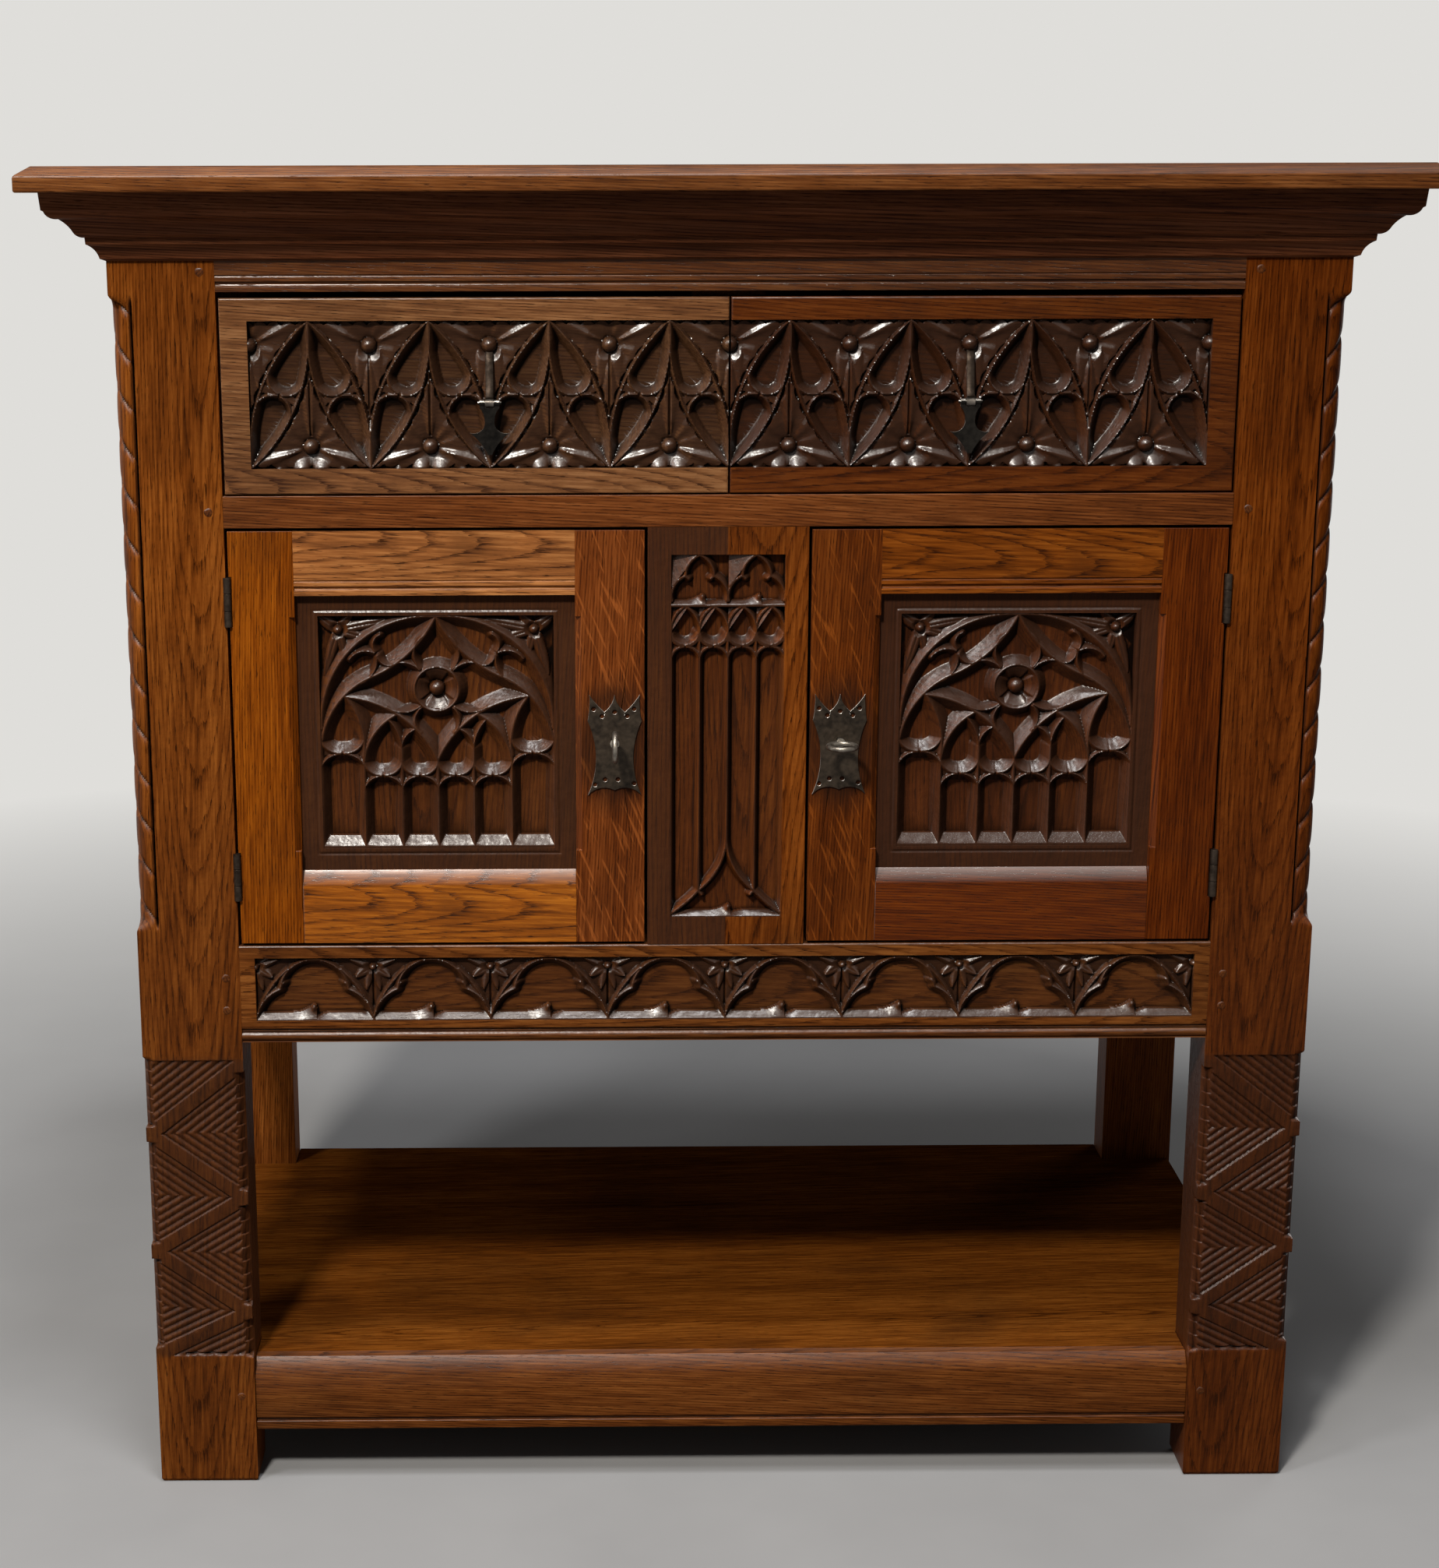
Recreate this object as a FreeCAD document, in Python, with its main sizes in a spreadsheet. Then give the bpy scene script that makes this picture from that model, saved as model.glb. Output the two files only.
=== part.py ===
# Gothic revival oak buffet: two carved drawers over two traceried doors, on
# carved front posts, with an open pot board below.
# Millimetres. +Z is up, the front faces -Y, the origin is the middle of the
# footprint on the floor.
import FreeCAD, Part
import Sketcher
import os
import re

doc = FreeCAD.newDocument("Buffet")
Vector = FreeCAD.Vector

SIZES = {
    # Carcass and posts
    "body_width": 1000,
    "body_depth": 505,
    "post_width": 86,
    "post_depth": 52,
    "back_post_width": 72,
    "back_post_depth": 42,
    # Top board
    "top_thickness": 20,
    "top_side_overhang": 59,
    "top_front_overhang": 60,
    "top_bevel_run": 12,
    "top_bevel_drop": 7.5,
    # Cornice
    "cornice_height": 54,
    "cornice_projection": 43,
    # Front, from the frieze upwards
    "frieze_foot": 413.5,
    "frieze_height": 86,
    "frieze_bead": 9,
    "bead_quirk": 3,
    "door_height": 352,
    "door_gap": 2.5,
    "drawer_rail_height": 26.5,
    "drawer_gap": 1.3,
    "drawer_height": 158,
    "drawer_head_gap": 5,
    "top_rail_height": 78.7,
    "top_rail_moulding": 12.5,
    "rail_thickness": 28,
    "muntin_width": 133,
    "muntin_thickness": 22,
    "muntin_tenon_length": 9,
    "muntin_tenon_inset": 20,
    # Joints of the frame
    "tenon_thickness": 8,
    "tenon_length": 24,
    "tenon_shoulder": 7,
    "grooved_shoulder": 12,
    "mortise_end_gap": 1,
    "groove_depth": 8,
    "groove_end_gap": 1,
    "peg_radius": 3.5,
    "peg_length": 24,
    # Sides and back
    "side_rail_thickness": 24,
    "side_rail_inset": 6,
    "side_panel_thickness": 10,
    "back_rail_thickness": 22,
    "back_rail_inset": 8,
    "back_board_thickness": 12,
    "back_board_gap": 0.6,
    "notch_gap": 0.5,
    # Inside
    "floor_thickness": 16,
    "floor_drop": 14,
    "floor_lap": 6,
    "runner_width": 22,
    "runner_height": 20,
    "centre_runner_width": 60,
    "guide_width": 14,
    "guide_height": 14,
    "mid_rail_thickness": 16,
    "kicker_lap": 20,
    "kicker_gap": 1,
    # Pot board
    "pot_board_level": 115.5,
    "pot_board_thickness": 18,
    "pot_board_inset": 2,
    "pot_rail_foot": 49.5,
    "pot_rail_setback": 2,
    "pot_rail_thickness": 30,
    "pot_rail_bevel_run": 10,
    "pot_rail_bevel_drop": 14,
    "pot_rail_bead": 8,
    "pot_rail_rebate": 10,
    "pot_board_seam": 0.6,
    # Doors
    "door_thickness": 24,
    "hinge_stile_width": 53.5,
    "lock_stile_width": 57.5,
    "door_head_height": 53.5,
    "door_head_moulding": 12,
    "door_foot_height": 63,
    "door_sill_height": 13.5,
    "door_sill_run": 7,
    "panel_thickness": 13,
    "panel_setback": 7,
    "panel_border": 18,
    "stile_chamfer": 5,
    "stile_chamfer_stop": 18,
    "tracery_depth": 8,
    "tracery_drop": 1,
    "rib_width": 3.2,
    # Hinges
    "hinge_height": 41,
    "hinge_inset": 38,
    "barrel_radius": 3.2,
    "hinge_pin_radius": 1.5,
    "pin_clearance": 0.05,
    "barrel_proud": 0.8,
    "leaf_thickness": 0.9,
    "leaf_depth": 17,
    "knuckle_height": 13,
    "knuckle_gap": 0.4,
    "barrel_clearance": 0.5,
    # Locks and keys
    "lock_height": 175,
    "keyhole_inset": 25,
    "escutcheon_width": 45,
    "escutcheon_height": 86,
    "escutcheon_thickness": 1.6,
    "escutcheon_hole": 2,
    "lock_case_setback": 1,
    "lock_case_width": 40,
    "lock_case_height": 50,
    "lock_case_depth": 13,
    "lock_case_wall": 1.6,
    "bolt_height": 9,
    "bolt_thickness": 4,
    "bolt_length": 30,
    "bolt_clearance": 0.6,
    "key_shank_radius": 2.3,
    "key_clearance": 0.5,
    "key_reach": 14,
    "key_tip_depth": 10,
    "key_bow_radius": 11.5,
    "key_wire_radius": 2.2,
    "key_collar_radius": 3.8,
    "key_collar_length": 3,
    "key_bit_length": 6,
    "key_bit_drop": 8,
    "key_bit_thickness": 2.2,
    # Drawers
    "drawer_front_thickness": 22,
    "drawer_seam": 1.5,
    "drawer_side_thickness": 11,
    "drawer_side_height": 150,
    "drawer_side_clearance": 4,
    "drawer_end_gap": 2,
    "guide_clearance": 1,
    "drawer_groove": 5,
    "drawer_back_gap": 13,
    "drawer_housing": 8,
    "drawer_back_thickness": 10,
    "drawer_bottom_thickness": 6,
    "drawer_bottom_lift": 8,
    "drawer_runner_gap": 0.3,
    "drawer_field_side": 22.5,
    "drawer_field_foot": 20.7,
    "drawer_field_height": 119,
    "drawer_rib_width": 2.6,
    "drawer_carving_depth": 7,
    # Drawer pulls
    "pull_drop_level": 74.2,
    "pull_pin_radius": 1.4,
    "pull_pin_length": 19,
    "pull_eye_width": 7,
    "pull_eye_radius": 3.4,
    "pull_eye_stand": 4.6,
    "pull_drop_height": 38,
    "pull_drop_width": 32,
    "pull_head_width": 16,
    "pull_drop_thickness": 2.4,
    "pull_ear_gap": 0.5,
    "pull_ear_radius": 2.6,
    "pull_stem_radius": 2,
    "pull_stem_length": 16,
    # Centre muntin and frieze carving
    "muntin_field_side": 19.5,
    "muntin_field_foot": 24,
    "muntin_field_head": 23,
    "muntin_transom": 43,
    "frieze_field_side": 13,
    "frieze_field_foot": 19,
    "frieze_field_height": 56,
    "frieze_rib_width": 3,
    "frieze_carving_depth": 7,
    # Post carving
    "rope_square": 18,
    "rope_quirk": 1.5,
    "rope_foot": 520,
    "rope_head": 1038,
    "leg_carving_foot": 122,
    "leg_carving_head": 397,
    "leg_chamfer": 10,
    "chevron_depth": 2.5,
    "chevron_band": 12,
    # Cuts run past the faces that they open
    "overrun": 2,
}

sheet = doc.addObject("Spreadsheet::Sheet", "Sizes")
for row, (alias, value) in enumerate(SIZES.items(), 1):
    sheet.set(f"A{row}", alias)
    sheet.set(f"B{row}", str(value))
    sheet.setAlias(f"B{row}", alias)
doc.recompute()


def size(alias):
    """The number in one cell of the sheet."""
    return float(sheet.get(alias))


def bound(text):
    """An expression in which each word is a cell of the sheet."""
    return re.sub(r"[a-z][a-z_]*", lambda word: "Sizes." + word.group(), text)


# Faces and levels that many pieces share, as expressions of the sheet's words
HALF = "(body_width / 2)"
POST_IN = "(body_width / 2 - post_width)"
BACK_POST_IN = "(body_width / 2 - back_post_width)"
FRONT = "((top_front_overhang - body_depth) / 2)"
BACK = "((top_front_overhang + body_depth) / 2)"
POST_BACK = f"({FRONT} + post_depth)"
BACK_POST_FRONT = f"({BACK} - back_post_depth)"
FRIEZE_TOP = "(frieze_foot + frieze_height)"
DOOR_FOOT = f"({FRIEZE_TOP} + door_gap)"
DOOR_TOP = f"({DOOR_FOOT} + door_height)"
RAIL_FOOT = f"({DOOR_TOP} + door_gap)"
RAIL_TOP = f"({RAIL_FOOT} + drawer_rail_height)"
DRAWER_FOOT = f"({RAIL_TOP} + drawer_gap)"
DRAWER_TOP = f"({DRAWER_FOOT} + drawer_height)"
TOP_RAIL_FOOT = f"({DRAWER_TOP} + drawer_head_gap)"
CARCASS_TOP = f"({TOP_RAIL_FOOT} + top_rail_height)"
RAIL_BACK = f"({FRONT} + rail_thickness)"
SIDE_RAIL_OUT = "(body_width / 2 - side_rail_inset)"
SIDE_RAIL_IN = "(body_width / 2 - side_rail_inset - side_rail_thickness)"
SIDE_RAIL_FOOT = "(frieze_foot + frieze_bead)"
BACK_RAIL_BACK = f"({BACK} - back_rail_inset)"
BACK_RAIL_FRONT = f"({BACK_RAIL_BACK} - back_rail_thickness)"
BOARD_MIDDLE = f"({BACK_RAIL_FRONT} + back_rail_thickness / 2 + groove_end_gap)"
MID_RAIL_BACK = f"({BOARD_MIDDLE} - back_board_thickness / 2)"
MID_RAIL_FRONT = f"({MID_RAIL_BACK} - mid_rail_thickness)"
POT_FRONT = f"({FRONT} + pot_rail_setback)"
POT_BACK = f"({POT_FRONT} + pot_rail_thickness)"
POT_UNDER = "(pot_board_level - pot_board_thickness)"
DOOR_IN = "(muntin_width / 2 + door_gap)"
DOOR_OUT = f"({POST_IN} - door_gap)"
DOOR_BACK = f"({FRONT} + door_thickness)"
LOCK_STILE_OUT = f"({DOOR_IN} + lock_stile_width)"
HINGE_STILE_IN = f"({DOOR_OUT} - hinge_stile_width)"
DOOR_HEAD = f"({DOOR_TOP} - door_head_height)"
DOOR_SILL = f"({DOOR_FOOT} + door_foot_height)"
PANEL_FRONT = f"({FRONT} + panel_setback)"
PANEL_BACK = f"({PANEL_FRONT} + panel_thickness)"
HINGE_AXIS = f"({POST_IN} - door_gap / 2)"
HINGE_FRONT = f"({FRONT} - barrel_proud)"
KEY_X = f"({DOOR_IN} + keyhole_inset)"
KEY_Z = f"({DOOR_FOOT} + lock_height)"
DRAWER_SIDE_FOOT = f"({RAIL_TOP} + drawer_runner_gap)"
DRAWER_SIDE_TOP = f"({DRAWER_SIDE_FOOT} + drawer_side_height)"
DRAWER_OUT = f"({POST_IN} - drawer_side_clearance)"
DRAWER_END = f"({POST_IN} - drawer_end_gap)"
DRAWER_IN = "(guide_width / 2 + guide_clearance)"
DRAWER_FRONT_BACK = f"({FRONT} + drawer_front_thickness)"
SIDES = {"left": -1, "right": 1}


def span(first, last):
    """A bound length between two bound places."""
    return f"({last}) - ({first})"


def mirrored(side, near, far):
    """A stretch along X on one side of the middle."""
    if side > 0:
        return near, far
    return f"-({far})", f"-({near})"


def box(name, along_x, along_y, along_z):
    """A board given by its faces."""
    solid = doc.addObject("Part::Box", name)
    stretches = (along_x, along_y, along_z)
    for prop, axis, (first, last) in zip(("Length", "Width", "Height"), "xyz", stretches):
        solid.setExpression(prop, bound(span(first, last)))
        solid.setExpression("Placement.Base." + axis, bound(first))
    return solid


def cylinder(name, radius, length, place, direction):
    """A round bar from a place along a unit direction."""
    solid = doc.addObject("Part::Cylinder", name)
    solid.setExpression("Radius", bound(radius))
    solid.setExpression("Height", bound(length))
    turn = FreeCAD.Rotation(Vector(0, 0, 1), Vector(*direction))
    solid.Placement = FreeCAD.Placement(Vector(0, 0, 0), turn)
    for axis, text in zip("xyz", place):
        solid.setExpression("Placement.Base." + axis, bound(text))
    return solid


def fuse(name, pieces):
    """Several shapes as one solid."""
    joined = doc.addObject("Part::MultiFuse", name)
    joined.Shapes = pieces
    joined.Refine = True
    return joined


def group(name, pieces):
    """Separate solids kept together in one node."""
    bundle = doc.addObject("Part::Compound", name)
    bundle.Links = pieces
    return bundle


def cut(name, base, tools):
    """A shape with every tool taken out of it."""
    result = base
    for number, tool in enumerate(tools):
        step = doc.addObject("Part::Cut", f"{name}_cut_{number}")
        step.Base = result
        step.Tool = tool
        result = step
    return result


def feature(name, shape):
    """A shape made by Part's own functions from the sheet's sizes."""
    made = doc.addObject("Part::Feature", name)
    made.Shape = shape
    return made


NODES = []


def node(name, shape):
    """Names a finished sub-part."""
    shape.Label = name
    NODES.append(shape)
    return shape


def outline(*steps):
    """A closed wire of lines and arcs: a step is a point, or an arc's middle and its end."""
    start = steps[0]
    edges = []
    here = start
    for step in steps[1:] + (start,):
        if isinstance(step, tuple):
            middle, end = step
            edges.append(Part.Arc(here, middle, end).toShape())
        else:
            end = step
            if (end - here).Length > 0:
                edges.append(Part.LineSegment(here, end).toShape())
        here = end
    return Part.Wire(edges)


def prism(wire, direction):
    """A flat outline drawn out along a direction."""
    return Part.Face(wire).extrude(direction)


def bounds(base):
    """The extent of a shape that is already worked out."""
    doc.recompute()
    return base.Shape.BoundBox


# Mortises and grooves that the posts receive, collected from the rails and panels
front_post_seats = {"left": [], "right": []}
back_post_seats = {"left": [], "right": []}


def cross_rail(name, along_y, along_z, half, seats, shoulder="tenon_shoulder"):
    """A rail from post to post: its core, its long tenon and the mortise for it."""
    first_y, last_y = along_y
    first_z, last_z = along_z
    middle_y = f"(({first_y}) + ({last_y})) / 2"
    thin = (f"{middle_y} - tenon_thickness / 2", f"{middle_y} + tenon_thickness / 2")
    high = (f"({first_z}) + {shoulder}", f"({last_z}) - {shoulder}")
    reach = f"({half} + tenon_length)"
    deep = f"({reach} + mortise_end_gap)"
    core = box(name + "_core", (f"-{half}", half), along_y, along_z)
    tenon = box(name + "_tenon", (f"-{reach}", reach), thin, high)
    mortise = box(name + "_mortise", (f"-{deep}", deep), thin, high)
    for hand in SIDES:
        seats[hand].append(mortise)
    return fuse(name + "_rail", [core, tenon])


def side_rail(name, hand, along_z):
    """A rail from a front post to the back post behind it."""
    first_z, last_z = along_z
    along_x = mirrored(SIDES[hand], SIDE_RAIL_IN, SIDE_RAIL_OUT)
    middle = f"(({along_x[0]}) + ({along_x[1]})) / 2"
    thin = (f"{middle} - tenon_thickness / 2", f"{middle} + tenon_thickness / 2")
    high = (f"({first_z}) + grooved_shoulder", f"({last_z}) - grooved_shoulder")
    reach = (f"{POST_BACK} - tenon_length", f"{BACK_POST_FRONT} + tenon_length")
    deep = (f"{reach[0]} - mortise_end_gap", f"{reach[1]} + mortise_end_gap")
    core = box(name + "_core", along_x, (POST_BACK, BACK_POST_FRONT), along_z)
    tenon = box(name + "_tenon", thin, reach, high)
    mortise = box(name + "_mortise", thin, deep, high)
    front_post_seats[hand].append(mortise)
    back_post_seats[hand].append(mortise)
    return fuse(name + "_rail", [core, tenon])


def mirror_x(shape):
    """A shape on the other side of the middle."""
    return shape.mirror(Vector(0, 0, 0), Vector(1, 0, 0))


class Field:
    """A sunk rectangle on a front face, in which carving is placed by shares."""

    def __init__(self, first_x, last_x, first_z, last_z, face_y):
        self.first_x = first_x
        self.last_x = last_x
        self.first_z = first_z
        self.last_z = last_z
        self.face_y = face_y
        self.width = last_x - first_x
        self.height = last_z - first_z

    def at(self, share_x, share_z):
        """The point on the face at a share of the width and of the height."""
        x = self.first_x + share_x * self.width
        z = self.first_z + share_z * self.height
        return Vector(x, self.face_y, z)

    def hollow(self, depth):
        """The whole rectangle, sunk to a depth and open at the face."""
        overrun = size("overrun")
        corner = Vector(self.first_x, self.face_y - overrun, self.first_z)
        return Part.makeBox(self.width, depth + overrun, self.height, corner)


def bar(start, end, width, drop, depth):
    """A straight rib that stands up from the sunk ground."""
    along = (end - start).normalize()
    across = Vector(-along.z, 0, along.x) * (width / 2)
    level = Vector(0, drop, 0)
    corners = [start + across, end + across, end - across, start - across]
    wire = outline(*[corner + level for corner in corners])
    return prism(wire, Vector(0, depth - drop + size("overrun"), 0))


def bow(start, middle, end, width, drop, depth):
    """A rib that follows the arc through three points."""
    centre = Part.Arc(start, middle, end).toShape().Curve.Center
    level = Vector(0, drop, 0)

    def shifted(point, distance):
        out = (point - centre).normalize()
        return point + out * distance + level

    wide = [shifted(point, width / 2) for point in (start, middle, end)]
    slim = [shifted(point, -width / 2) for point in (end, middle, start)]
    wire = outline(wide[0], (wide[1], wide[2]), slim[0], (slim[1], slim[2]))
    return prism(wire, Vector(0, depth - drop + size("overrun"), 0))


def carved_out(field, ribs, depth):
    """What the carver takes away: the sunk field without its ribs."""
    return field.hollow(depth).cut(ribs[0].multiFuse(ribs[1:]))


# Ribs as arcs through three points, in shares of the field's width and height
DOOR_ARC_SHARES = [
    ((0.004, 0.519), (0.119, 0.840), (0.500, 0.996)),
    ((0.004, 0.470), (0.085, 0.640), (0.206, 0.733)),
    ((0.206, 0.733), (0.390, 0.848), (0.500, 0.996)),
    ((0.111, 0.655), (0.332, 0.578), (0.500, 0.384)),
    ((0.183, 0.380), (0.247, 0.519), (0.323, 0.578)),
    ((0.183, 0.400), (0.165, 0.560), (0.111, 0.655)),
]
DOOR_BAR_SHARES = [
    ((0.200, 0.885), (0.262, 0.765)),
    ((0.383, 0.830), (0.440, 0.745)),
]
DOOR_MULLION_SHARES = [(0.183, 0.400), (0.346, 0.500)]
MIDDLE_SHARE = 0.5
DOOR_MIDDLE_SHARE = 0.384
DOOR_LIGHT_SHARES = [(0.000, 0.183, 0.418), (0.183, 0.346, 0.316), (0.346, 0.500, 0.316)]
CUSP_RISE_SHARE = 0.035
CUSP_PINCH_SHARE = 0.006
ROSE_CENTRE_SHARES = (0.500, 0.688)
ROSE_RADIUS_SHARE = 0.098
BOSS_RADIUS_SHARE = 0.034
SILL_RISE_SHARE = 0.052


def light_ribs(field, first, last, level, width, drop, depth, rise=CUSP_RISE_SHARE):
    """The pinched pair of small arcs that cusps one narrow light."""
    middle = (first + last) / 2
    ribs = []
    for sense in (-1, 1):
        foot = level + sense * rise
        tip = level + sense * CUSP_PINCH_SHARE
        points = [field.at(first, foot), field.at(middle, tip), field.at(last, foot)]
        ribs.append(bow(*points, width, drop, depth))
    return ribs


def sill(field, rise_share, drop, depth):
    """The sloped sill along the foot of the lights."""
    front = field.face_y + drop
    back = field.face_y + depth + size("overrun")
    foot = field.first_z
    rise = field.height * rise_share
    wire = outline(
        Vector(field.first_x, front, foot),
        Vector(field.first_x, back, foot + rise),
        Vector(field.first_x, back, foot),
    )
    return prism(wire, Vector(field.width, 0, 0))


def door_tracery(field):
    """Six lights under intersecting arches with a rose in the great arch."""
    width = size("rib_width")
    drop = size("tracery_drop")
    depth = size("tracery_depth")
    ribs = []
    for flip in (False, True):

        def place(shares):
            across = 1 - shares[0] if flip else shares[0]
            return field.at(across, shares[1])

        for shares in DOOR_ARC_SHARES:
            ribs.append(bow(*[place(point) for point in shares], width, drop, depth))
        for shares in DOOR_BAR_SHARES:
            ribs.append(bar(*[place(point) for point in shares], width, drop, depth))
        for across, head in DOOR_MULLION_SHARES:
            ribs.append(bar(place((across, 0)), place((across, head)), width, drop, depth))
        for first, last, level in DOOR_LIGHT_SHARES:
            ends = (1 - last, 1 - first) if flip else (first, last)
            ribs += light_ribs(field, *ends, level, width, drop, depth)
    ribs.append(bar(field.at(MIDDLE_SHARE, 0), field.at(MIDDLE_SHARE, DOOR_MIDDLE_SHARE), width, drop, depth))
    centre = field.at(*ROSE_CENTRE_SHARES) + Vector(0, drop, 0)
    height = depth - drop + size("overrun")
    inward = Vector(0, 1, 0)
    radius = field.width * ROSE_RADIUS_SHARE
    ring = Part.makeCylinder(radius, height, centre, inward)
    ring = ring.cut(Part.makeCylinder(radius - width, height, centre, inward))
    boss = Part.makeCylinder(field.width * BOSS_RADIUS_SHARE, height, centre, inward)
    ribs += [ring, boss, sill(field, SILL_RISE_SHARE, drop, depth)]
    return carved_out(field, ribs, depth)


MUNTIN_MULLION_SHARES = [(0.25, 0.073), (0.5, 0.214), (0.75, 0.073)]
MUNTIN_GABLE_SHARES = [(0.5, 0.214), (0.25, 0.075), (0.0, 0.012)]
MUNTIN_CUSP_SHARE = 0.757
MUNTIN_CUSP_RISE_SHARE = 0.014
MUNTIN_HEAD_SHARES = [(0.0, 0.890), (0.07, 0.945), (0.25, 0.995)]
MUNTIN_SILL_SHARE = 0.02


def muntin_tracery(field):
    """Two ogee lights above a transom, four lancets and a gable below it."""
    width = size("rib_width")
    drop = size("tracery_drop")
    depth = size("tracery_depth")
    transom = 1 - size("muntin_transom") / field.height
    ribs = [bar(field.at(0, transom), field.at(1, transom), width, drop, depth)]
    ribs.append(bar(field.at(MIDDLE_SHARE, transom), field.at(MIDDLE_SHARE, 1), width, drop, depth))
    for across, foot in MUNTIN_MULLION_SHARES:
        ribs.append(bar(field.at(across, foot), field.at(across, transom), width, drop, depth))
    for flip in (False, True):

        def place(shares):
            across = 1 - shares[0] if flip else shares[0]
            return field.at(across, shares[1])

        ribs.append(bow(*[place(point) for point in MUNTIN_GABLE_SHARES], width, drop, depth))
        head = [place(point) for point in MUNTIN_HEAD_SHARES]
        ribs.append(bow(*head, width, drop, depth))
        inner = [place((MIDDLE_SHARE - across, level)) for across, level in MUNTIN_HEAD_SHARES]
        ribs.append(bow(*inner, width, drop, depth))
    for number in range(4):
        ends = (number / 4, (number + 1) / 4)
        rise = MUNTIN_CUSP_RISE_SHARE
        ribs += light_ribs(field, *ends, MUNTIN_CUSP_SHARE, width, drop, depth, rise)
    ribs.append(sill(field, MUNTIN_SILL_SHARE, drop, depth))
    return carved_out(field, ribs, depth)


FRIEZE_ARCHES = 8
FRIEZE_ARC_SHARES = [
    ((0.00, 0.03), (0.08, 0.34), (0.21, 0.50)),
    ((0.21, 0.50), (0.29, 0.82), (0.50, 0.97)),
    ((0.00, 0.06), (0.11, 0.48), (0.27, 0.82)),
]
FRIEZE_SILL_SHARE = 0.16


def frieze_tracery(field):
    """A row of three-lobed arches over a sloped sill."""
    width = size("frieze_rib_width")
    drop = size("tracery_drop")
    depth = size("frieze_carving_depth")
    ribs = [sill(field, FRIEZE_SILL_SHARE, drop, depth)]
    for number in range(FRIEZE_ARCHES):
        for flip in (False, True):
            for shares in FRIEZE_ARC_SHARES:
                points = []
                for across, level in shares:
                    across = 1 - across if flip else across
                    points.append(field.at((number + across) / FRIEZE_ARCHES, level))
                ribs.append(bow(*points, width, drop, depth))
    return carved_out(field, ribs, depth)


DRAWER_PAIRS = 4
VESICA_SAG_SHARE = 0.121
CUSP_LENGTH_SHARE = 0.75


def drawer_tracery(field):
    """Leaning pointed ovals in a zigzag, each with a pair of cusps at its middle."""
    width = size("drawer_rib_width")
    drop = size("tracery_drop")
    depth = size("drawer_carving_depth")
    ribs = []
    for number in range(DRAWER_PAIRS * 2):
        levels = (0, 1) if number % 2 == 0 else (1, 0)
        start = field.at(number / (DRAWER_PAIRS * 2), levels[0])
        end = field.at((number + 1) / (DRAWER_PAIRS * 2), levels[1])
        chord = end - start
        middle = start + chord * MIDDLE_SHARE
        sag = Vector(-chord.z, 0, chord.x) * VESICA_SAG_SHARE
        for bulge in (sag, sag * -1):
            ribs.append(bow(start, middle + bulge, end, width, drop, depth))
            tip = middle + bulge * (1 - CUSP_LENGTH_SHARE)
            ribs.append(bar(middle + bulge, tip, width, drop, depth))
    return carved_out(field, ribs, depth)


# Top rail, with a bead, a hollow and a bead along its lower edge
def moulded_face(rail, name, height):
    """Takes the hollow and the quirk out of the lower front edge of a rail."""
    extent = bounds(rail)
    bead = height / 3
    overrun = size("overrun")
    start_x = extent.XMin - overrun
    length = extent.XLength + 2 * overrun
    along = Vector(1, 0, 0)
    hollow_place = Vector(start_x, extent.YMin, extent.ZMin + height / 2)
    hollow = Part.makeCylinder(bead / 2, length, hollow_place, along)
    quirk_place = Vector(start_x, extent.YMin, extent.ZMin + height)
    quirk = Part.makeCylinder(bead / 4, length, quirk_place, along)
    return feature(name + "_hollows", hollow.fuse(quirk))


top_rail = cross_rail(
    "top_rail", (FRONT, RAIL_BACK), (TOP_RAIL_FOOT, CARCASS_TOP), POST_IN, front_post_seats
)
top_rail_hollows = moulded_face(top_rail, "top_rail", size("top_rail_moulding"))

# Drawer rail and the carved frieze rail with a bead along its foot
drawer_rail = cross_rail(
    "drawer_rail", (FRONT, RAIL_BACK), (RAIL_FOOT, RAIL_TOP), POST_IN, front_post_seats
)
frieze_rail = cross_rail(
    "frieze_rail", (FRONT, RAIL_BACK), ("frieze_foot", FRIEZE_TOP), POST_IN, front_post_seats
)
frieze_extent = bounds(frieze_rail)
frieze_half = size("body_width") / 2 - size("post_width") - size("frieze_field_side")
frieze_field = Field(
    -frieze_half,
    frieze_half,
    frieze_extent.ZMin + size("frieze_field_foot"),
    frieze_extent.ZMin + size("frieze_field_foot") + size("frieze_field_height"),
    frieze_extent.YMin,
)
frieze_carving = feature("frieze_carving", frieze_tracery(frieze_field))
frieze_quirk = box(
    "frieze_quirk",
    (f"-{POST_IN}", POST_IN),
    (f"{FRONT} - overrun", f"{FRONT} + bead_quirk"),
    ("frieze_foot + frieze_bead", "frieze_foot + frieze_bead + bead_quirk"),
)

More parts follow.
